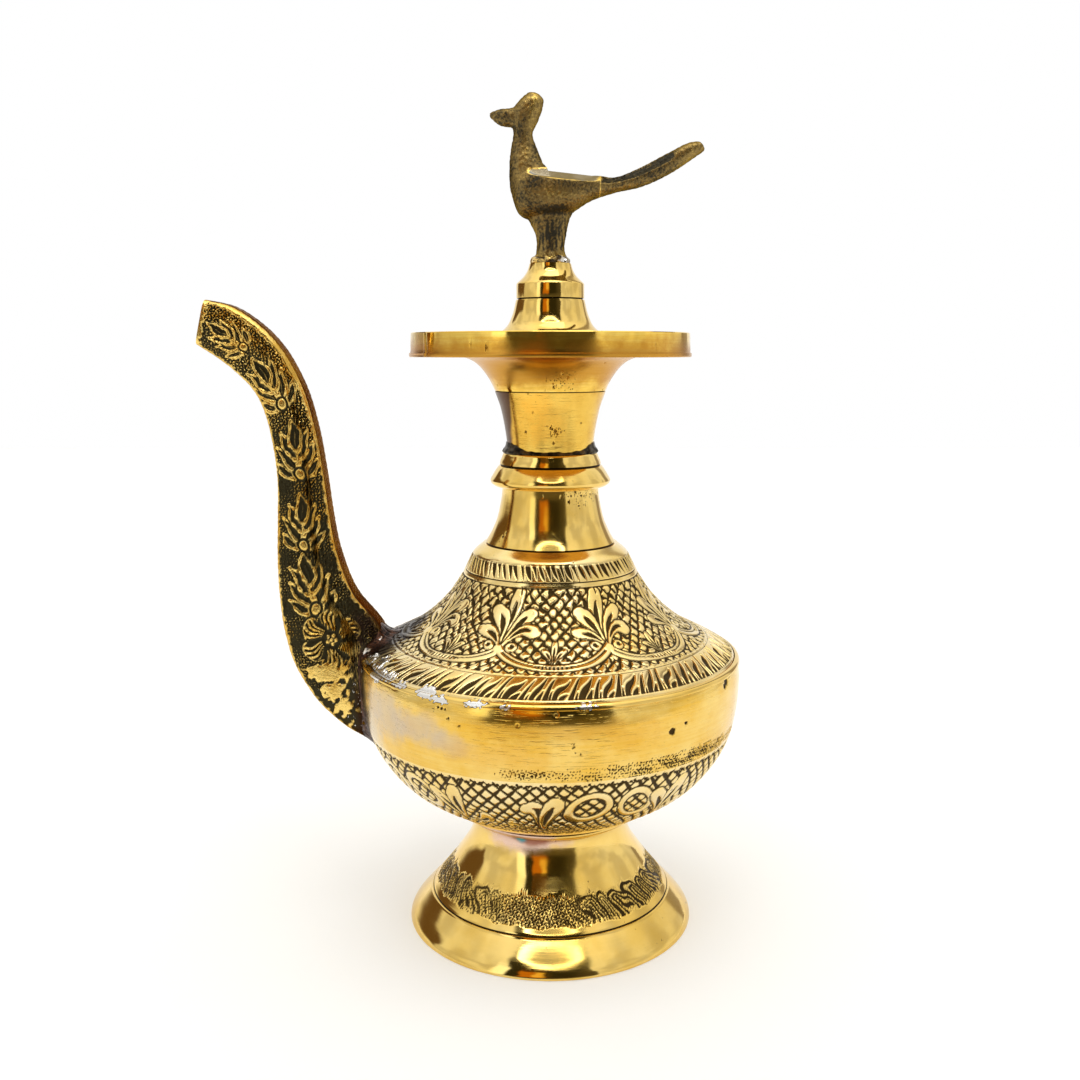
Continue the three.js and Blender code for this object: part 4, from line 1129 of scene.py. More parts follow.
FLAKES = [(-60, 78.2, 3.2, 1.8), (-65, 80.2, 2.2, 1.4), (-54, 79.1, 2.0, 0.8), (-47, 78.6, 1.8, 0.6),
          (-36, 78.5, 2.8, 1.3), (-31, 77.6, 2.4, 0.9), (-20.4, 77.9, 2.4, 0.7), (-11.5, 77.7, 1.3, 0.5),
          (9.5, 78.0, 1.9, 0.6), (-73, 79.4, 2.6, 1.0), (-112, 78.9, 3.4, 1.4), (-121, 78.0, 2.4, 0.9)]


def solder_flakes(angle, height, radius):
    """How much of a place is covered by the silver flakes (angle, height, length, width)."""
    ragged = stipple(angle * DEGREE * 50, height * 1.5, 1.4, 0.7) - 0.5
    silver = np.zeros(len(angle))
    for at, level, long, wide in FLAKES:
        along = arc(angle, at, radius)
        gap = np.hypot(along / long, (height - level - 0.04 * along) / wide) * wide - wide + 0.8 * ragged
        silver = np.maximum(silver, soft(gap, 0.12))
    return silver


def flaked_flutes(angle, run, radius):
    """The flutes, filled where solder flowed over them."""
    height = np.interp(run, lengths(edge_line), edge_line[:, 1])
    land = np.where(run > FLUTES_FROM, fluted(angle, run - FLUTES_FROM, radius), 1.0)
    silver = solder_flakes(angle, height, radius)
    return land * (1 - silver) + (1.25 + 0.1 * stipple(angle * 0.8, height, 0.8)) * silver


def mark_silver(piece):
    """Stores where the flakes are, for the finish."""
    mesh = piece.data
    x, y, height = (read_points(mesh) / MM - (AXIS_X / MM, 0, 0)).T
    radius = np.hypot(x, y)
    silver = solder_flakes(np.degrees(np.arctan2(x, -y)), height, radius)
    silver = silver * (radius > np.interp(height, shoulder_line[:, 1], shoulder_line[:, 0]) - 0.6)
    layer = mesh.attributes.new("silver", "FLOAT", "POINT")
    layer.data.foreach_set("value", silver.astype(np.float32))


# %% [markdown]
# The cone above them carries the palmettes. Each is a fan of leaves over two curls, and swags
# with a bud in the middle hang between them. A row of slanted strokes closes the shoulder.

# %% Strokes, palmettes and swags
def slanted_strokes(angle, run, radius):
    """Short cuts in a row, dark at their head and leaning left towards it."""
    drop = np.clip((4.6 - run) / 3.9, 0, 1)
    pitch = 360 / STROKES
    share = (angle - 3.0 * drop) / pitch + 0.12 * np.sin(angle * 0.7)
    across = np.abs(share - np.floor(share) - 0.5) * pitch * DEGREE * radius
    half = 0.62 * (1 - drop**1.5) * (0.8 + 0.3 * np.sin(angle * 0.47 + 2)) + 0.02
    cut = np.maximum(across - half, run - 4.7)
    cut = np.maximum(cut, 0.6 - run)
    ridge = np.abs(run - 0.15) - 0.2
    top = np.abs(run - 5.1) - 0.14
    return 1 - np.maximum(soft(cut, 0.15), np.maximum(soft(ridge, 0.1), 0.6 * soft(top, 0.1)))


PALMETTE_RUN = 9.3
PALMETTE = [
    ((0.3, 0.5), (-0.6, 9), (1.3, 16.2), 1.9),
    ((-0.3, 1.0), (-1.0, 8), (-3.9, 10.8), 2.15),
    ((0.6, 1.0), (2.4, 8), (5.6, 10.6), 2.05),
    ((-0.3, 0.4), (-2.6, 5.0), (-6.4, 4.9), 1.95),
    ((0.5, 0.4), (4.4, 8.6), (7.5, 4.6), 1.8),
]
SWAG_HALF = 180 / REPEATS


def chased_cone(angle, run, radius):
    """Lattice, and on it palmettes joined by swags with a bud in the middle of each."""
    drift = hand_drift(angle, run)
    between_palmettes = (angle - FIRST_PALMETTE) % (2 * SWAG_HALF) - SWAG_HALF
    across = between_palmettes * DEGREE * radius + drift
    uneven = stipple(across, run, 2.6, 1.3) - 0.5
    cut = 0.36 + 0.1 * np.sin(angle * 1.7 + run * 0.8) + 0.3 * uneven
    land = lattice(across + 0.5 * uneven, run + 1.2 * drift + 0.4 * uneven, 3.0, 3.7, cut)
    for repeat in range(REPEATS):
        start = FIRST_PALMETTE + 2 * SWAG_HALF * repeat
        middle = turned_to(angle, start + SWAG_HALF)
        x = middle * DEGREE * radius + drift
        y = run - PALMETTE_RUN + 0.5 * drift
        side = np.abs(middle) / SWAG_HALF
        hang = -6.0 + 5.6 * np.clip(side, 0, 1.05) ** 2.8
        steep = 1 + 0.9 * np.clip(side - 0.45, 0, 1)
        band = (np.abs(y - hang) / steep) - 1.2
        band = np.where(side < 1.03, band, 1.0)
        land = land * (1 - soft(band - 0.35))
        land = np.maximum(land, soft(band) * pillow(-band))
        groove = np.abs(y - hang - 0.35) / steep - 0.1 - 0.12 * np.clip(side, 0, 1)
        land = land * (1 - 0.9 * soft(np.where((side < 0.93) & (side > 0.2), groove, 1.0), 0.12))
        hollow = np.abs(x) < 5.5
        lens = np.abs(y - hang) - 0.62 * np.sqrt(np.clip(1 - (x / 5.6) ** 2, 0, 1))
        hatch = 0.55 + 0.45 * np.sign(np.sin(x * 6.0))
        land = land * (1 - soft(np.where(hollow, lens, 1.0), 0.12) * hatch)
        for lean in (-1, 0, 1):
            tip = (2.6 * lean, -0.6 + 2.4 * (1 - abs(lean)))
            land = draw_leaf(land, x, y, (0.3 * lean, -4.6), (1.2 * lean, -1.4), tip, 0.85, rim=0.25)
        x = arc(angle, start, radius) + drift
        land = draw_leaves(land, x, y, PALMETTE)
        for flip in (-1, 1):
            curl = np.hypot(x - flip * 3.3, y - 0.4) - 1.5
            land = land * (1 - soft(curl - 0.3))
            land = np.maximum(land, soft(curl))
            land = land * (1 - soft(np.hypot(x - flip * 3.5, y - 0.6) - 0.6))
        land = np.maximum(land, soft(np.hypot(x, y + 0.4) - 1.5))
        ticks = np.abs(np.abs(x) - 1.15 - 0.5 * np.sin(x)) - 0.18
        land = land * (1 - soft(np.maximum(ticks, np.abs(y - 17.0) - 1.4)) * 0.8)
    land = np.maximum(land, soft(np.abs(run - 0.35) - 0.3))
    land = np.maximum(land, soft(26.9 - run, 0.1))
    return land * (1 - 0.85 * soft(np.abs(run - 26.75) - 0.16, 0.1))


# %% Turn the shoulder
EDGE_COLUMNS = 1800
TOP_COLUMNS = 1100
shoulder_line = smooth_line(SHOULDER_FLANK, FINE)


def shoulder_ring(name, low, high, spacing, columns=CARVED_COLUMNS, spigot=False):
    """A ring of the shoulder between two heights, with the spigot that enters the bowl or without."""
    outside = even_line(between(shoulder_line, low, high), spacing)
    inside = moved_in(between(shoulder_line, low, high), SHOULDER_WALL)
    inside[0][1] = high
    inside[-1][1] = low
    outline = np.vstack([outside, inside])
    if spigot:
        bore = BELLY - BOWL_WALL - SPIGOT_PLAY
        spigot_end = [(bore - SPIGOT_WALL, low), (bore - SPIGOT_WALL, low - SHOULDER_SPIGOT),
                      (bore, low - SHOULDER_SPIGOT), (bore, low)]
        outline = np.vstack([outside, inside[:-1], spigot_end])
    nodes = ["shoulder"] if spigot else []
    return finished(name, spin(outline, columns), "vessel", CHASED, nodes)


edge_line = between(shoulder_line, BOWL_TOP + 0.05, FLUTE_BAND[1])
FLUTES_FROM = np.interp(FLUTE_BAND[0], edge_line[:, 1], lengths(edge_line))
edge = shoulder_ring("shoulder_fluted_edge", BOWL_TOP, FLUTE_BAND[1], 0.26, EDGE_COLUMNS, spigot=True)
carve(edge, edge_line, flaked_flutes, FLUTE_DEPTH)
mark_silver(edge)

cone = shoulder_ring("shoulder_cone", *CONE_BAND, 0.31)
carve(cone, between(shoulder_line, *CONE_BAND), chased_cone, CHASING_DEPTH)
top = shoulder_ring("shoulder_top", STROKE_BAND[0], SHOULDER_TOP, 0.25, TOP_COLUMNS)
carve(top, between(shoulder_line, *STROKE_BAND), slanted_strokes, STROKE_DEPTH)

# %% [markdown]
# The seam between bowl and shoulder is a small bead.

# %% Lay the seam and the foot bead
SEAM = 1.3


def bead(name, radius, height, size, up, material, nodes):
    """A quarter-round bead in a corner, above the height if up is 1 and below it if -1."""
    turn = np.linspace(0, math.pi / 2, 7)
    round_side = np.column_stack([radius + size * np.cos(turn), height + up * size * np.sin(turn)])
    outline = np.vstack([[(radius, height)], round_side])
    return finished(name, spin(outline, MARKED_COLUMNS), "vessel", material, nodes)


seam = bead("seam_bead", BELLY - SEAM - 0.1, BOWL_TOP, SEAM, 1, POLISHED,
            ["shoulder_seam_bead"])
mark_silver(seam)
mark_silver(belt)
bead("foot_bead", 23.9, FOOT_TOP, 1.5, -1, FOOT_BRASS, ["foot_braze_bead"])

# %% [markdown]
# ## Neck, collar and mouth
# Above the shoulder come a waisted neck, a thrown collar, a black ring of solder, and the
# flared cup that opens into the flat saucer of the mouth.

# %% Turn the neck and collar
NECK_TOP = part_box("collar_ring")[0].z / MM
COLLAR_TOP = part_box("collar_ring")[1].z / MM
NECK_OUT = [(18.2, SHOULDER_TOP), (17.1, 111.2), (16.15, 113), (14.9, 116), (13.95, 120), (13.45, 123),
            (13.3, NECK_TOP)]
neck_line = smooth_line(NECK_OUT, 0.35)
NECK_SPIGOT = 4
NECK_LINE = [(17.55, SHOULDER_TOP), (17.6, SHOULDER_TOP + 0.25)]
neck_side = between(neck_line, SHOULDER_TOP + 0.4, NECK_TOP)
neck_outline = np.vstack([
    [(13.95, SHOULDER_TOP - NECK_SPIGOT), (15.85, SHOULDER_TOP - NECK_SPIGOT), (15.85, SHOULDER_TOP)],
    NECK_LINE, neck_side,
    [(12, NECK_TOP), (12, COLLAR_TOP), (10, COLLAR_TOP), (10, NECK_TOP), (10.7, 118.3),
     (13.95, SHOULDER_TOP)],
])
NECK_PITS = [(-52, 112.4, 0.35), (-49, 113.4, 0.25), (21, 122.2, 0.3), (34, 121.0, 0.25)]
neck = finished("neck", spin(neck_outline, MARKED_COLUMNS, NECK_LINE), "vessel", NECK_BRASS,
                ["neck"])
NECK_PITS += scattered(3, 14, 34, 124.0, 42, 2.4, 0.3) + scattered(4, 20, 150, 122, 40, 4, 0.3)
carve_marks(neck, neck_side, NECK_PITS)

COLLAR_LINE = [(13.55, 131.0), (13.5, 131.15), (13.6, 131.3)]
collar_outline = [
    (12.15, NECK_TOP), (14.6, NECK_TOP), (15.4, 125.35), (16.2, 125.9), (16.55, 126.4), (16.63, 126.9),
    (16.45, 127.4), (16.0, 128.2), (15.45, 129.1), (14.9, 130.0), (14.5, 130.5), (14.25, 130.8),
    (13.95, 130.9), *COLLAR_LINE, (14.0, 131.4), (13.8, 132.3), (13.45, 133.0), (13.15, 133.8),
    (12.97, COLLAR_TOP - 0.2), (12.8, COLLAR_TOP), (12.15, COLLAR_TOP),
]
finished("collar_ring", spin(collar_outline, PLAIN_COLUMNS, COLLAR_LINE), "vessel", POLISHED,
         ["collar_ring"], crease=28)

# %% Turn the cup and saucer
CUP_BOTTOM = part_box("cup_solder_ring")[1].z / MM
SAUCER_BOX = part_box("saucer_brim")
CUP_TOP = SAUCER_BOX[0].z / MM
SAUCER_TOP = SAUCER_BOX[1].z / MM
DISC_BOTTOM = 160.3
DISC_FLOOR = 162.3
JOINT = (14.8, CUP_TOP)
CUP_SKIRT = 0.85
CUP_SPIGOT = 4.4
cup_line = smooth_line([(11.72, CUP_BOTTOM - CUP_SKIRT), (12.15, 139), (12.8, 143), (13.7, 147),
                        (14.6, 149.6), (15.12, CUP_TOP - 0.15)], 0.22)
cup_outline = np.vstack([
    [(7.95, CUP_BOTTOM - CUP_SPIGOT), (9.85, CUP_BOTTOM - CUP_SPIGOT), (9.85, CUP_BOTTOM - CUP_SKIRT)],
    cup_line, [JOINT],
    [(13.0, CUP_TOP), (10.6, 144), (7.95, CUP_BOTTOM)],
])
CUP_PITS = [(6.0, 141.1, 0.42), (2.5, 141.7, 0.22), (9.0, 140.4, 0.2), (-32, 140.7, 0.3), (-20, 146, 0.2),
            (4.0, 138.0, 0.22), (40, 143, 0.2), (130, 145, 0.4)]
cup = finished("mouth_cup", spin(cup_outline, MARKED_COLUMNS, [JOINT]), "vessel", SATIN,
               ["mouth_cup"])
CUP_PITS += scattered(5, 8, 6, 140.8, 12, 1.4, 0.26) + scattered(6, 20, 180, 143, 140, 9, 0.24)
carve_marks(cup, cup_line, CUP_PITS)

funnel = smooth_line([(15.2, CUP_TOP + 0.12), (16.0, 153.2), (17.3, 155.4), (19.2, 157.8), (21.3, 159.4),
                      (23.6, DISC_BOTTOM)], 0.3)
disc_side = np.array([(38.2, DISC_BOTTOM + 0.3), (38.2, DISC_BOTTOM + 0.9), (38.17, DISC_BOTTOM + 1.05),
                      (37.88, DISC_BOTTOM + 1.15), (37.85, DISC_BOTTOM + 1.3), (37.83, 162.6), (37.8, 163.5),
                      (37.77, 164.5), (37.74, 165.5), (37.7, SAUCER_TOP - 0.2)])
saucer_outline = np.vstack([
    [JOINT], funnel, [(37.95, DISC_BOTTOM), (38.15, DISC_BOTTOM + 0.1)], disc_side,
    [(37.5, SAUCER_TOP), (35.7, SAUCER_TOP), (35.4, SAUCER_TOP - 0.3), (36.0, 163.5), (35.7, 162.7),
     (35.0, DISC_FLOOR), (22.9, DISC_FLOOR), (20.2, 161.2), (17.6, 158.9), (15.6, 156.3), (14.1, 153.7),
     (13.0, CUP_TOP)],
])
saucer = finished("saucer_brim", spin(saucer_outline, CARVED_COLUMNS, [JOINT]), "vessel", DISC_BRASS,
                  ["saucer_brim"], crease=28)
FUNNEL_PITS = scattered(7, 7, 9, 154.2, 26, 3.2, 0.28) + scattered(8, 24, 180, 155, 150, 5, 0.26)
carve_marks(saucer, funnel, FUNNEL_PITS)


def disc_knocks(angle, run, radius):
    """A crease where the brim was knocked, the dent beside it, a chip and a few pits."""
    x = arc(angle, -56.7, radius)
    land = 1 - 0.9 * soft(np.abs(x + 0.15 * (run - 3)) - 0.22, 0.4)
    land = land - 0.4 * np.clip(-x / 2, 0, 1) * np.clip((x + 19) / 6, 0, 1)
    chip = arc(angle, -84, radius)
    land = land - soft(np.hypot(chip / 1.6, run - 2.2) - 1.3 + 0.8 * stipple(chip, run, 1.2), 0.3)
    for at, level, size in ((-24, 2.4, 0.28), (-31, 3.0, 0.2), (12, 4.6, 0.18), (44, 3.3, 0.22)):
        land = land - 0.8 * soft(np.hypot(arc(angle, at, radius), run - level) - size, 0.15)
    return np.clip(land, 0, 1)


KNOCK_DEPTH = 0.45
carve(saucer, disc_side, disc_knocks, KNOCK_DEPTH)

# %% [markdown]
# The solder under the cup was never cleaned. It is thin in front and lies thick at the sides,
# so the ring is drawn between a thin and a thick section.

# %% Lay the black ring
THIN_RING = np.array([(10, 0), (12.25, 0.02), (12.35, 0.2), (12.25, 0.4), (12.05, 0.6), (11.9, 0.72),
                      (11.75, 0.78), (11.6, 0.78), (10, 0.7)])
THICK_RING = np.array([(10, 0), (13.0, 0.02), (13.3, 0.4), (13.0, 0.95), (12.55, 1.5), (12.3, 2.1),
                       (12.15, 2.9), (11.6, 2.9), (10, 1.5)])


def black_ring():
    turn = np.linspace(0, 2 * math.pi, PLAIN_COLUMNS + 1)
    turn[-1] = 0
    uneven = 0.25 * np.sin(turn * 5 + 1) + 0.18 * np.sin(turn * 13) + 0.12 * np.sin(turn * 29 + 2)
    share = np.clip(np.abs(np.sin(turn - 0.1)) ** 3 * 1.2 + uneven * 0.3, 0, 1)
    section = THIN_RING[:, None] + (THICK_RING - THIN_RING)[:, None] * share[None, :, None]
    radius, height = section[:, :, 0], COLLAR_TOP + section[:, :, 1]
    points = np.stack([radius * np.sin(turn), -radius * np.cos(turn), height], axis=2)
    return skin(np.concatenate([points, points[:1]]))


finished("cup_solder_ring", black_ring(), "vessel", BLACK_SOLDER, ["cup_solder_ring"])

# %% [markdown]
# ## Lid
# A hollow bell with a wide flare that lies in the saucer, a fine groove, a plain band, and a
# dome on which the bird is soldered.

# %% Turn the lid
BELL_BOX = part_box("lid_bell")
BELL_BOTTOM = BELL_BOX[0].z / MM
BELL_TOP = BELL_BOX[1].z / MM
bell_flare = smooth_line([(27, BELL_BOTTOM + 0.6), (23.5, 163.7), (19.2, 164.6), (15.6, 165.9),
                          (13.2, 167.2), (11.5, 168.9), (10.7, 170.5), (10.1, 172.1), (9.7, 173.6),
                          (9.35, 175.2)], 0.5)
bell_dome = smooth_line([(9.05, 179.8), (8.76, 180.1), (7.9, 180.9), (7.2, 181.6), (6.3, 182.9),
                         (5.8, 184.2), (5.6, BELL_TOP)], 0.4)
BELL_GROOVE = [(9.25, 175.5), (8.75, 175.55), (8.62, 175.7), (8.75, 175.85), (9.17, 175.9)]
bell_outline = np.vstack([
    [(15.95, BELL_BOTTOM), (26.8, BELL_BOTTOM), (27, BELL_BOTTOM + 0.2)], bell_flare,
    BELL_GROOVE, [(9.17, 179.5)], bell_dome,
    [(2.15, BELL_TOP), (2.15, 179.8), (7.27, 177.9), (7.27, 175.4), (7.8, 171.4), (9.9, 167.8),
     (13.8, 163.9), (15.95, 163.9)],
])
finished("lid_bell", spin(bell_outline, PLAIN_COLUMNS, BELL_GROOVE[1:4]), "lid", POLISHED,
         ["lid_bell"], crease=28)

# %% [markdown]
# ## Spout
# The spout was cast hollow in two halves, which meet on its middle plane. Its section is a
# rounded square that turns with the curve. Each half is drawn as rows of points: a fine sheet
# outside, a plain one inside, joined along all edges. The rows end on the vessel's skin, to
# which the casting was filed.

# %% The spout's curve
SPOUT_WALL = 1.8
SPOUT_GAP = 0.3
SPOUT_STEPS = 900
SPOUT_SQUARE = 5
SPOUT_FREE_FROM = 110

# From the outlet to the root: the outer edge (out, up), the inner edge (out, up) and the
# thickness, in mm from the upper rim of the belly.
SPOUT_ROWS = [
    (42, 86.1, 39.2, 98.1, 9.4), (37.8, 83.4, 32.6, 96.6, 9.6), (32.3, 79.2, 24.8, 91.6, 9.8),
    (27.4, 74.1, 19, 85.2, 10), (24.4, 67.6, 14, 75.6, 10), (22.6, 58.6, 11, 65.1, 10),
    (21.8, 49.6, 9, 52.6, 10.2), (22.1, 39.6, 7.6, 40.6, 10.6), (22.6, 27.6, 5.7, 29.4, 11.2),
    (22.4, 17.1, 1.6, 18.1, 11.8), (21.1, 5.6, -6.2, 7.6, 12.4), (17.6, -5.1, -9.2, -5.1, 12.8),
    (10.3, -15.6, -9.2, -13.9, 12.8), (2.3, -22, -9.2, -18.4, 12.4), (-4.2, -24.8, -10.2, -20.4, 11.6),
    (-10, -25.6, -13, -22, 11.2),
]
SPOUT_COLUMNS = 110
SPOUT_LINES = 420
VESSEL_FLANK = np.vstack([bowl_line[:-1], [(BELLY, BOWL_TOP)], shoulder_line])


def smooth_rows(rows, count):
    """Rows on a smooth line through the given ones."""
    rows = np.array(rows, float)
    middle = np.column_stack([rows[:, 0] + rows[:, 2], rows[:, 1] + rows[:, 3]]) / 2
    return curve_through(rows, lengths(middle), count)


def round_section(square, count, whole=False):
    """Evenly spaced points of a superellipse from its +x end, half or all the way round."""
    turn = np.linspace(0, 2 * math.pi if whole else math.pi, 4000)
    x, y = (np.sign(v) * np.abs(v) ** (2 / square) for v in (np.cos(turn), np.sin(turn)))
    run = lengths(np.column_stack([x, y * 0.85]))
    even = np.linspace(0, run[-1], count)
    return np.interp(even, run, x), np.interp(even, run, y)


def vessel_radius(height):
    return np.interp(height, VESSEL_FLANK[:, 1], VESSEL_FLANK[:, 0])


def spout_sheet(side, shrink):
    """Points of one half's skin, [row, column, xyz], each line ending on the vessel."""
    rows = smooth_rows(SPOUT_ROWS, SPOUT_STEPS)
    outer = np.column_stack([-BELLY - rows[:, 0], BOWL_TOP + rows[:, 1]])
    inner = np.column_stack([-BELLY - rows[:, 2], BOWL_TOP + rows[:, 3]])
    across = inner - outer
    width = np.hypot(*across.T)[:, None]
    across /= width
    cos, sin = round_section(SPOUT_SQUARE, SPOUT_COLUMNS)
    reach = (width / 2 - shrink) * cos
    flat = ((outer + inner) / 2)[:, None, :] + reach[:, :, None] * across[:, None, :]
    gap = np.maximum(-flat[:, :, 0] - vessel_radius(flat[:, :, 1]), 0)
    flare = 4 * np.exp(-gap / 2.6) * (1 - cos**4)
    depth = side * ((rows[:, 4:] / 2 - shrink) * sin + flare * (sin > 0.01))
    points = np.stack([flat[:, :, 0], depth, flat[:, :, 1]], axis=2)
    past = np.hypot(points[:, :, 0], points[:, :, 1]) < vessel_radius(points[:, :, 2]) + SPOUT_GAP
    past &= points[:, :, 2] < SPOUT_FREE_FROM
    last = np.where(past.any(axis=0), past.argmax(axis=0), len(rows) - 1)
    pick = np.linspace(0, 1, SPOUT_LINES)[:, None] * last[None, :]
    low = np.floor(pick).astype(int)
    high = np.minimum(low + 1, len(rows) - 1)
    share = (pick - low)[:, :, None]
    columns = np.arange(len(cos))
    return points[low, columns] * (1 - share) + points[high, columns] * share, cos


# %% [markdown]
# ### What is cast on the spout
# Up the flat face grow five sprays of hollow leaves, each from a bead, with a ribbed flower
# below them. Their outlines stand up as thin gold ribs over a stippled ground, which was never
# polished and has gone black. Both long edges are smooth.

# %% Draw the sprays and the flower
SPRAYS = [
    ((-65.2, 91.7), (-68.0, 105.0), 1.12), ((-67.8, 109.5), (-68.4, 124.6), 1.0),
    ((-68.2, 129.2), (-70.4, 145.0), 1.03), ((-72.6, 148.2), (-80.8, 161.4), 1.0),
    ((-82.6, 163.0), (-94.0, 170.6), 0.78),
]
SPRAY_LEAVES = [
    ((5.6, 0), (9, 0.4), (13.8, 0), 1.75), ((3.4, 0.3), (5.6, 1.0), (10.8, 3.7), 1.5),
    ((3.4, -0.3), (5.6, -1.0), (11.0, -3.6), 1.5), ((1.0, 0.8), (3.2, 1.8), (7.4, 5.0), 1.45),
    ((1.0, -0.8), (3.2, -1.8), (7.2, -5.0), 1.45), ((-1.2, 1.6), (0.2, 3.4), (3.2, 5.8), 1.2),
    ((-1.2, -1.6), (0.2, -3.4), (3.0, -5.8), 1.2),
]
LANCE = np.array([0.1, 0.55, 0.9, 1.0, 0.85, 0.5, 0.06])
FLOWER = (-60.9, 82.6)
FLOWER_SIZE = 8.6
RUBBED_PATCHES = [((-62.3, 73.2), (6.0, 2.8)), ((-60.8, 68.2), (3.6, 2.6)), ((-58.2, 63.6), (2.6, 2.2))]


def hollow_leaf(land, x, y, base, bend, tip, width):
    """A pointed leaf shown by a thin raised outline and a faint rib."""
    path = bent(base, bend, tip)
    edge = stroke(x, y, path, width * LANCE)
    land = land * (1 - soft(edge - 0.6))
    uneven = stipple(x, y, 2.4, base[0])
    thick = 0.25 + 0.2 * uneven + 0.14 * np.clip(1 - (x - base[0]) / 5, 0, 1)
    rib = (0.6 + 0.45 * uneven) * soft(np.abs(edge) - thick, 0.22)
    land = np.maximum(land, rib)
    return np.maximum(land, 0.5 * soft(stroke(x, y, path[1:-2], [0.1] * 4), 0.2))


def ribbed_flower(x, z):
    """Six fat petals of five ribs each, round a cluster of seeds, and its outline."""
    rho = np.hypot(x - FLOWER[0], z - FLOWER[1])
    phi = np.arctan2(z - FLOWER[1], x - FLOWER[0]) + 0.12 * np.sin(rho * 0.8)
    lobe = np.abs(np.sin(3 * phi))
    petal = FLOWER_SIZE * (0.7 + 0.3 * lobe**0.5)
    ribs = 0.5 + 0.5 * np.sin(phi * 30 + 1.5 * np.sin(3 * phi))
    flower = np.clip(1.15 * ribs * np.clip(lobe * 2.4 - 0.5, 0, 1) - 0.05, 0, 1)
    flower = flower * np.clip((rho - 2.4) / 0.6, 0, 1)
    seeds = np.hypot(rho - 1.3, rho * np.sin(2.5 * phi) * 0.45)
    flower = np.maximum(flower, soft(np.minimum(seeds, rho) - 0.5, 0.25))
    rim = 0.8 * soft(np.abs(rho - petal) - 0.25, 0.2)
    return np.maximum(flower * soft(rho - petal, 0.2), rim), rho - petal


def draw_sprays(land, x, z):
    """The sprays, with the leaves of each drawn from the lowest up, and the bead at its foot."""
    for (bx, bz), (tx, tz), size in SPRAYS:
        long = math.hypot(tx - bx, tz - bz)
        ux, uz = (tx - bx) / long, (tz - bz) / long
        up = ((x - bx) * ux + (z - bz) * uz) / size
        over = ((x - bx) * uz - (z - bz) * ux) / size
        over = over + 0.25 * np.sin(up * 0.9 + bx)
        for base, bend, tip, width in SPRAY_LEAVES[::-1]:
            land = hollow_leaf(land, up, over, base, bend, tip, width)
        land = np.maximum(land, 0.9 * soft(stroke(up, over, [(1.5, 0), (6, 0)], (0.3, 0.16)), 0.15))
        knob = np.hypot((up + 0.4) * 0.85, over)
        land = land * (1 - soft(knob - 1.75, 0.2))
        land = np.maximum(land, soft(knob - 1.15, 0.3))
    return land


def rub_low_end(land, x, z):
    """The worn end by the root: smooth patches, and rags of gold in place of the stipple."""
    gaps = [np.hypot((x - px) / wide, (z - pz) / high) for (px, pz), (wide, high) in RUBBED_PATCHES]
    smooth = soft(np.min(gaps, axis=0) * 3 - 3 + 2.0 * (stipple(x, z, 2.6) - 0.5), 0.35)
    low = (z < 68.5) & (x > -75)
    rags = stipple(x * 0.75 + z * 0.65, (z * 0.75 - x * 0.65) * 3.0, 6.5, 0.6)
    rags = np.clip((rags - 0.6) * 5, 0, 1) * np.clip(1.6 * stipple(x, z, 3.4, 1.9) - 0.3, 0, 1)
    return np.maximum(np.where(low, np.maximum(land * 0.3, rags), land), smooth)


def spout_relief(x, z, cos, out):
    """Height of the casting, 1 on the ribs and 0 on the ground, and 2 on the inner side."""
    dots = stipple(x, z, 0.72)
    rubbed = 0.38 + 0.4 * stipple(x, z, 11, 0.5)
    rubbed = rubbed + 0.6 * np.clip((cos + 0.1) / 0.6, 0, 1) * np.clip((z - 125) / 15, 0, 1)
    land = draw_sprays(rubbed * np.clip((dots - 0.5) * 2.4, 0, 1), x, z)
    flower, gap = ribbed_flower(x, z)
    land = land * (1 - soft(gap - 0.5, 0.2)) + flower
    land = rub_low_end(land, x, z)
    edge_left = soft((cos + 0.92) * 7 + 0.4 * (stipple(x, z, 2.0) - 0.5), 0.3)
    broad = 0.14 * np.clip((z - 138) / 18, 0, 1) * np.clip((x + 92) / 8, 0, 1)
    edge_right = soft((0.92 - broad - cos) * 7 + 0.5 * (stipple(x, z, 2.5) - 0.5), 0.3)
    mouth = soft(out - 1.1 + 0.9 * (stipple(x, z, 1.7) - 0.5), 0.3)
    land = np.maximum(land, np.maximum(np.maximum(edge_left, edge_right), mouth))
    return land + np.clip((cos - 0.955) / 0.02, 0, 1) * (2 - land) * (1 - mouth)


# %% Build the two halves
CAST_DEPTH = 0.5


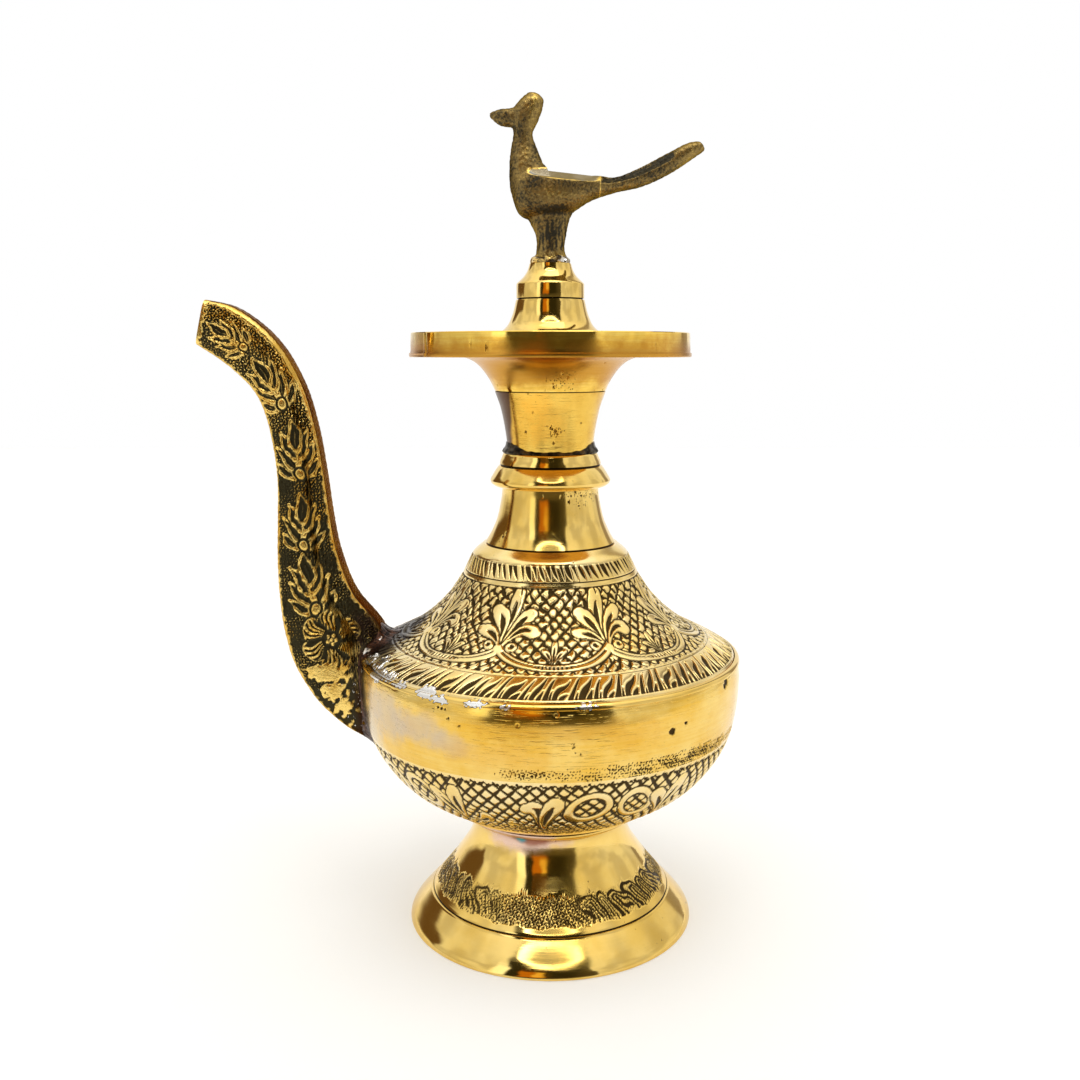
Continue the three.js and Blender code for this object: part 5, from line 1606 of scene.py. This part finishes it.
def spout_half(name, side, node_name):
    """A closed half of the spout, the near one with side -1 and the far one with side 1."""
    outside, cos = spout_sheet(side, 0)
    inside = spout_sheet(side, SPOUT_WALL)[0]
    down, over = np.gradient(outside, axis=0), np.gradient(outside, axis=1)
    normal = np.cross(down, over)
    normal /= np.maximum(np.linalg.norm(normal, axis=2), 1e-9)[:, :, None]
    normal *= np.sign(normal[:, SPOUT_COLUMNS // 2, 1].mean()) * side
    x, z = outside[:, :, 0], outside[:, :, 2]
    steps = np.linalg.norm(np.diff(outside, axis=0), axis=2)
    out = np.vstack([np.zeros((1, SPOUT_COLUMNS)), np.cumsum(steps, axis=0)])
    relief = spout_relief(x, z, cos[None, :], out)
    flat = soft(np.abs(cos) - 0.93, 0.05)[None, :]
    rough = 0.3 * (stipple(x + outside[:, :, 1], z, 1.3, 1.0) - 0.5) * (1 - flat)
    push = CAST_DEPTH * (np.minimum(relief, 1) - 1) * flat + rough * 0.3
    rim = np.minimum(1, np.arange(SPOUT_LINES) / 3)[:, None]
    outside = outside + (push * rim)[:, :, None] * normal
    points = np.concatenate([outside, inside[:, ::-1], outside[:, :1]], axis=1)
    relief = np.concatenate([relief, 0 * relief, relief[:, :1]], axis=1)
    lip = (outside + inside) / 2
    ends = [np.concatenate([lip[k], lip[k, ::-1], lip[k, :1]])[None] for k in (0, -1)]
    points = np.concatenate([ends[0], points, ends[1]])
    relief = np.vstack([relief[:1], relief, relief[-1:]])
    return finished(name, skin(points, relief), "vessel", CAST, [node_name])


def cast_brass(name):
    """Brass as it came from the mould, black in the ground and rubbed gold on the ribs."""
    material, tree, shader, place = start_material(name)
    relief = attribute(tree, "relief")
    grain = speckle(tree, place, 1500.0, 3.0, 0.6)
    cloud = speckle(tree, place, 130.0, 4.0, 0.6)
    worn = calc(tree, "ADD", relief, calc(tree, "MULTIPLY_ADD", grain, 0.5, -0.25))
    worn = calc(tree, "ADD", worn, calc(tree, "MULTIPLY_ADD", cloud, 0.7, -0.35))
    parts = node(tree, "ShaderNodeSeparateXYZ", Vector=place).outputs
    worn = calc(tree, "ADD", worn, calc(tree, "MULTIPLY", ramp(tree, parts["Z"], 0.125, 0.155), 0.16))
    gold = mix(tree, ramp(tree, cloud, 0.35, 0.65), rgb(0.95, 0.68, 0.2), rgb(0.68, 0.4, 0.07))
    colour = mix(tree, ramp(tree, worn, 0.25, 0.8), rgb(0.042, 0.036, 0.018), gold)
    wall = mix(tree, ramp(tree, cloud, 0.35, 0.65), rgb(0.09, 0.035, 0.015), rgb(0.26, 0.13, 0.05))
    shader.inputs["Specular Tint"].default_value = rgb(0.55, 0.4, 0.28)
    colour = mix(tree, ramp(tree, relief, 1.3, 1.9), colour, wall)
    root = calc(tree, "MULTIPLY", ramp(tree, parts["X"], -0.057, -0.0525),
                ramp(tree, parts["Z"], 0.106, 0.096))
    root = calc(tree, "MULTIPLY", root, ramp(tree, cloud, 0.3, 0.5))
    colour = mix(tree, calc(tree, "MULTIPLY", root, 0.9), colour, rgb(0.035, 0.02, 0.015))
    low = calc(tree, "MULTIPLY", ramp(tree, parts["Z"], 0.074, 0.068),
               ramp(tree, parts["X"], -0.078, -0.068))
    flecks = calc(tree, "MULTIPLY", low, ramp(tree, speckle(tree, place, 800.0, 3.0, 0.7), 0.65, 0.69))
    colour = mix(tree, flecks, colour, SILVER)
    feed(tree, shader, colour, ramp(tree, worn, 0.3, 0.95, 0.42, 0.22), grain, 0.09)
    return material


CAST = cast_brass("cast_brass")
spout_half("spout_near", -1, "spout_near_half")
spout_half("spout_far", 1, "spout_far_half")

# %% [markdown]
# ## Bird
# The finial is a solid casting, hardly cleaned up: a long neck, a small crested head, a flat
# back and a tail like a spoon handle. Body, neck, beak and legs are four tapering lofts. They
# are melted into one skin with a fine voxel remesh, smoothed, and given the grain of the sand.

# %% Loft and melt the bird
BIRD_LOFTS = {
    "body": [(-10.9, 23.4, -10.6, 19, 3.4), (-8.6, 24.8, -8.8, 13.6, 8.6), (-3, 25.6, -3.2, 11.4, 12),
             (4, 24.9, 4.4, 12.6, 12.4), (11, 23.3, 11, 16.4, 9.8), (16.6, 22.2, 17.2, 18.4, 6.4),
             (23, 24.4, 23.8, 19.8, 6), (31, 28.4, 32, 23.4, 6.6), (37.2, 31.2, 38.2, 27.4, 6),
             (39.4, 31.4, 40.9, 29.2, 4.6)],
    "neck": [(-10.6, 20, 2, 21, 9.6), (-10.8, 26, -1.6, 25.4, 7.6), (-10.2, 30.6, -3.8, 30.4, 5.2),
             (-9.7, 33.4, -4.7, 33.2, 4.8), (-10.2, 36.4, -3.2, 36.6, 5.8), (-9.8, 39.6, -1.9, 40.4, 5.6),
             (-7.4, 42.4, -2.2, 42.6, 4.2), (-5.9, 43.7, -3.9, 43.8, 2)],
    "beak": [(-6.6, 40, -6.6, 35.2, 4.6), (-10.4, 39.8, -10.6, 35, 4.2), (-13.9, 39.4, -13.6, 35.6, 3),
             (-16.1, 38.6, -15.9, 37.4, 1.2)],
    "legs": [(-4.9, 0, 4.9, 0, 8.6), (-4.2, 1.6, 4.3, 1.6, 7.4), (-3.7, 4, 3.8, 4, 6.6),
             (-3.8, 7, 4.2, 7, 6.6), (-5.6, 11, 5.2, 11.6, 8), (-6.8, 15, 7, 15, 9)],
}
BIRD_ROWS = 120
BIRD_COLUMNS = 49
BIRD_VOXEL = 0.26
BIRD_PASSES = 14
BIRD_SQUARE = 2.4
LEG_SQUARE = 2.0


def tube(rows, square):
    """A closed loft through rows of (x, z, x, z, thickness), above the top of the bell."""
    rows = smooth_rows(rows, BIRD_ROWS)
    low, high = rows[:, :2], rows[:, 2:4]
    cos, sin = round_section(square, BIRD_COLUMNS, whole=True)
    middle, half = (low + high) / 2, (high - low) / 2
    flat = middle[:, None, :] + half[:, None, :] * cos[None, :, None]
    points = np.stack([flat[:, :, 0], rows[:, 4:] / 2 * sin, BELL_TOP + flat[:, :, 1]], axis=2)
    points[:, -1] = points[:, 0]
    middles = [points[k:k + 1].mean(axis=1, keepdims=True) for k in (0, len(points) - 1)]
    ends = [np.repeat(middle, BIRD_COLUMNS, axis=1) for middle in middles]
    return np.concatenate([ends[0], points, ends[1]])


def melted(name, meshes, voxel, passes):
    """One skin round several closed meshes, smoothed as many times as passes says."""
    joined = bmesh.new()
    for part in meshes:
        joined.from_mesh(part)
    mesh = bpy.data.meshes.new(name)
    joined.to_mesh(mesh)
    joined.free()
    piece = bpy.data.objects.new(name, mesh)
    bpy.context.scene.collection.objects.link(piece)
    melt = piece.modifiers.new("melt", "REMESH")
    melt.mode = "VOXEL"
    melt.voxel_size = voxel * MM
    whole = bpy.data.meshes.new_from_object(piece.evaluated_get(bpy.context.evaluated_depsgraph_get()))
    bpy.data.objects.remove(piece)
    bm = bmesh.new()
    bm.from_mesh(whole)
    for _ in range(passes):
        bmesh.ops.smooth_vert(bm, verts=bm.verts, factor=0.5, use_axis_x=True, use_axis_y=True,
                              use_axis_z=True)
    bm.normal_update()
    return bm


def bird_grain(bm):
    """Sand grain, the cut along the tail, where the high places were rubbed bright, and painted highlights
    and shade.
    """
    layer = bm.verts.layers.float.new("relief")
    co = np.array([vert.co[:] for vert in bm.verts]) / MM
    x, y, z = co[:, 0] - AXIS_X / MM, co[:, 1], co[:, 2] - BELL_TOP
    back = 24.0 - 0.11 * (x + 1) - 0.47 * np.maximum(np.abs(y) - 0.5, 0)
    behind_neck = np.clip((x - 1.9 + 0.82 * (z - 21)) / 0.5, 0, 1)
    flat = np.maximum(behind_neck, np.clip((np.abs(y) - 4.0) / 0.8, 0, 1)) * np.clip((x + 6.5) / 2, 0, 1)
    over = np.maximum(z - back, 0) * flat * (z < 26.4) * np.clip((14 - x) / 3, 0, 1)
    facet = np.clip(over / 0.25, 0, 1)
    co[:, 2] -= over
    tail_line = np.interp(x, [11, 16, 22, 28, 33], [21.3, 21.5, 22.9, 25.6, 27.9])
    cut = np.clip(1 - np.abs(z - tail_line) / 1.2, 0, 1) ** 0.6 * np.clip((x - 12) / 3, 0, 1)
    cut = cut * np.clip((33 - x) / 3, 0, 1) * (np.abs(y) > 1.2)
    grain = stipple(x + y, z - 0.6 * y, 1.2, 0.4) - 0.5
    wing = np.clip(1 - np.abs(z - 22.3 + 0.12 * x) / 0.7, 0, 1) * (x > -6) * (x < 10)
    # The tone starts with painted highlights on the top of the head, at the tail's end and down the neck.
    gold = 0.24 + 0.14 * np.clip((z - 37) / 5, 0, 1) + 0.14 * np.clip((x - 28) / 6, 0, 1)
    gold += 0.25 * np.clip(1 - np.abs(x + 6.6 - 0.2 * (z - 28)) / 2.2, 0, 1) * (z > 21)
    streaks = stipple(x * 2.2, z * 0.5 + y, 2.2, 0.7) - 0.5
    legs = np.clip((12 - z) / 4, 0, 1) * np.clip((z - 2) / 3, 0, 1)
    # The wing line is rubbed gold and the tail's cut is dark. The middle of the legs is painted darker, as
    # shade under the body, with streaks over it.
    gold += 0.3 * wing - 1.3 * cut - legs * (0.16 * np.clip(2 - np.abs(x), 0, 1) - 0.5 * streaks)
    # A painted highlight on the flank, and painted shade on a patch under the body.
    flank = np.clip(1 - np.hypot((x - 3) / 9, (z - 17.5 + 0.1 * x) / 2.6), 0, 1)
    gold += 0.3 * flank - 0.5 * np.clip(1 - np.hypot((x - 1) / 6, (z - 13.5) / 1.6), 0, 1)
    gold += 0.4 * np.clip((4 - z) / 3, 0, 1) + 0.25 * facet
    # A gold line in front of the tail.
    gold += 0.6 * np.clip(1 - np.abs(x - 12.2 - 0.05 * z) / 0.22, 0, 1) * (z > 14.5) * (z < 21.5)
    toes = np.clip((3.5 - z) / 3, 0, 1) * (stipple(x * 1.2, z * 0.8 + y, 2.0, 2.2) - 0.4)
    # The flat back gets a tone above 1, which the finish turns pale grey: a painted sheen of the light above
    # it.
    gold = np.clip(gold, 0, 1) + facet * (np.abs(y) < 5.4)
    push = 0.12 * grain * (1 - facet) - 0.8 * cut + 0.12 * wing + 0.9 * toes
    for vert, shift, tone, high in zip(bm.verts, push, gold, co[:, 2]):
        vert[layer] = float(tone)
        vert.co.z = high * MM
        vert.co += vert.normal * shift * MM


lofts = []
for part, rows in BIRD_LOFTS.items():
    bm = skin(tube(rows, LEG_SQUARE if part == "legs" else BIRD_SQUARE))
    mesh = bpy.data.meshes.new(part)
    bm.to_mesh(mesh)
    bm.free()
    lofts.append(mesh)
bird = melted("bird", lofts, BIRD_VOXEL, BIRD_PASSES)
bird_grain(bird)
print("bird of", len(bird.verts), "points")

# %% [markdown]
# The bird's metal is brown-black, and gold shows where its high places were rubbed. Highlights are
# painted in gold on its head, neck, flank and tail, and shade is painted darker under its body.
# Its flat back is dull, and painted pale grey as the sheen of the light above it.

# %% Age the bird
def aged_brass(name):
    """The bird's metal: brown-black with gold rubbed through on the high places and in painted highlights.
    """
    material, tree, shader, place = start_material(name)
    relief = attribute(tree, "relief")
    grain = speckle(tree, place, 1500.0, 3.0, 0.7)
    cloud = speckle(tree, place, 120.0, 3.0, 0.6, 0.4)
    # worn sums the tone on the points, which holds the rubbed gold, the painted highlights and the painted
    # shade, and the grain.
    worn = calc(tree, "ADD", relief, calc(tree, "MULTIPLY_ADD", grain, 1.1, -0.55))
    worn = calc(tree, "ADD", worn, calc(tree, "MULTIPLY_ADD", cloud, 0.7, -0.35))
    colour = mix(tree, ramp(tree, worn, 0.05, 0.42), rgb(0.05, 0.045, 0.032), rgb(0.28, 0.19, 0.065))
    colour = mix(tree, ramp(tree, worn, 0.45, 0.9), colour, rgb(0.9, 0.62, 0.16))
    # The flat back is painted pale grey, as the sheen of the light above it.
    flat_back = ramp(tree, relief, 1.2, 1.6)
    dull = mix(tree, ramp(tree, cloud, 0.35, 0.6), rgb(0.32, 0.31, 0.28), rgb(0.2, 0.19, 0.16))
    colour = mix(tree, flat_back, colour, dull)
    shader.inputs["Specular Tint"].default_value = rgb(0.4, 0.34, 0.22)
    rough = ramp(tree, worn, 0.1, 0.9, 0.5, 0.28)
    rough = mix(tree, flat_back, rough, grey(0.5))
    feed(tree, shader, colour, rough, grain, 0.08)
    return material


AGED = aged_brass("aged_brass")
finished("bird", bird, "lid", AGED, ["bird_finial"], crease=60)

# %% [markdown]
# ## Solder
# The last two places with solder are the spout's root, where a hollow fillet is burnt brown and
# black with silver flakes, and the bird's feet, where a blob holds them. The fillet is drawn
# from the casting out over the vessel. The blob is its solid, melted into an uneven lump.

# %% Melt the solder
BLOB_VOXEL = 0.2
BLOB_PASSES = 3
BLOB_SWELL = 0.6
FILLET_RISE = 3.4
FILLET_REACH = 3.0
BURNT_SILVER = 0.05


def blob(name, solid, body, material):
    """A solid melted into a soft lump that swells here and there."""
    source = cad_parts[solid]
    data = source.data.copy()
    data.transform(source.matrix_world)
    bm = melted(name, [data], BLOB_VOXEL, BLOB_PASSES)
    co = np.array([vert.co[:] for vert in bm.verts]) / MM
    waves = stipple(co[:, 0] + 0.7 * co[:, 1], co[:, 2] - 0.5 * co[:, 1], 2.6, 0.9) - 0.35
    for vert, shift in zip(bm.verts, waves * BLOB_SWELL):
        vert.co += vert.normal * shift * MM
    return finished(name, bm, body, material, [solid], crease=60)


def burnt_solder(name, share):
    """Brown-black flux with silver showing through. share is how much silver."""
    material, tree, shader, place = start_material(name)
    lumps = speckle(tree, place, 260.0, 4.0, 0.6, 0.5)
    fine = speckle(tree, place, 1200.0, 3.0, 0.6)
    silver = ramp(tree, calc(tree, "MULTIPLY_ADD", fine, 0.15, lumps), 0.72 - share, 0.78 - share)
    dark = mix(tree, ramp(tree, fine, 0.35, 0.65), rgb(0.02, 0.014, 0.012), rgb(0.11, 0.05, 0.03))
    colour = mix(tree, silver, dark, SILVER)
    feed(tree, shader, colour, ramp(tree, fine, 0.3, 0.7, 0.55, 0.25), fine, 0.1)
    return material


def gilded_solder(name):
    """The lump at the feet: gold and dark creases, with bare solder on one side."""
    material, tree, shader, place = start_material(name)
    folds = speckle(tree, place, 330.0, 3.0, 0.5, 0.8)
    gold = mix(tree, ramp(tree, folds, 0.38, 0.56), rgb(0.06, 0.045, 0.03), rgb(0.85, 0.58, 0.17))
    parts = node(tree, "ShaderNodeSeparateXYZ", Vector=place).outputs
    side = calc(tree, "MULTIPLY", ramp(tree, parts["X"], 0.0012, 0.0026), ramp(tree, folds, 0.42, 0.5))
    colour = mix(tree, side, gold, SILVER)
    feed(tree, shader, colour, ramp(tree, folds, 0.3, 0.6, 0.45, 0.2), folds, 0.12)
    return material


def root_fillet():
    """Rows of points round the spout's root: down the casting, out over the vessel, and back."""
    near, far = spout_sheet(-1, 0)[0], spout_sheet(1, 0)[0]
    loop = np.concatenate([near, far[:, -2:0:-1]], axis=1)[::-1]
    steps = np.linalg.norm(np.diff(loop, axis=0), axis=2)
    run = np.vstack([np.zeros((1, loop.shape[1])), np.cumsum(steps, axis=0)])
    turn = np.linspace(0, 2 * math.pi, loop.shape[1], endpoint=False)
    rise = FILLET_RISE + 0.7 * np.sin(3 * turn + 1) + 0.4 * np.sin(8 * turn) + 0.2 * np.sin(19 * turn + 2)
    reach = FILLET_REACH + 0.6 * np.sin(4 * turn + 2) + 0.4 * np.sin(9 * turn + 1) + 0.2 * np.sin(23 * turn)
    up = np.array([[np.interp(rise[k], run[:, k], loop[:, k, axis]) for axis in range(3)]
                   for k in range(len(turn))])

    def on_vessel(points, lift):
        scale = (vessel_radius(points[:, 2]) + lift) / np.hypot(points[:, 0], points[:, 1])
        return points * np.column_stack([scale, scale, np.ones(len(scale))])

    corner = on_vessel(loop[0], 0)
    lean = (vessel_radius(corner[:, 2] + 0.3) - vessel_radius(corner[:, 2] - 0.3)) / 0.6
    normal = np.column_stack([corner[:, :2] / np.hypot(corner[:, 0], corner[:, 1])[:, None], -lean])
    normal /= np.linalg.norm(normal, axis=1)[:, None]
    away = loop[0] - loop[0].mean(axis=0)
    away -= (away * normal).sum(axis=1)[:, None] * normal
    away /= np.linalg.norm(away, axis=1)[:, None]
    out = on_vessel(corner + reach[:, None] * away, 0.03)
    bend = corner + 0.15 * (up + out - 2 * corner)
    share = np.linspace(0, 1, 9)[:, None, None]
    curve = (1 - share) ** 2 * up + 2 * share * (1 - share) * bend + share**2 * out
    under = (up - 0.4 * away)[None]
    back = [(out - 0.4 * normal)[None], (corner - normal)[None], under]
    rows = np.concatenate([under, curve, *back])
    return skin(np.concatenate([rows, rows[:, :1]], axis=1))


BURNT = burnt_solder("burnt_solder", BURNT_SILVER)
finished("root_solder", root_fillet(), "vessel", BURNT, ["spout_root_solder"], crease=60)
blob("feet_solder", "finial_solder", "lid", gilded_solder("gilded_solder"))

# %% [markdown]
# ## Locating ring
# The ring under the bell is plain and is hidden while the lid is down, so its solid is kept and
# only given its brass.

# %% Dress the locating ring
locating_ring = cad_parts["lid_locating_ring"].data
locating_ring.materials.clear()
locating_ring.materials.append(POLISHED)
print("locating ring of", len(locating_ring.vertices), "points")

# %% [markdown]
# ## Size
# The box of the part's solids and the box of what is shown are printed side by side.

# %% Print the sizes
boxes = {"cad": [list(corner) for corner in CAD_BOX], "visual": [list(corner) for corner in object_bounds()]}
print("cad box", boxes["cad"], "visual box", boxes["visual"])
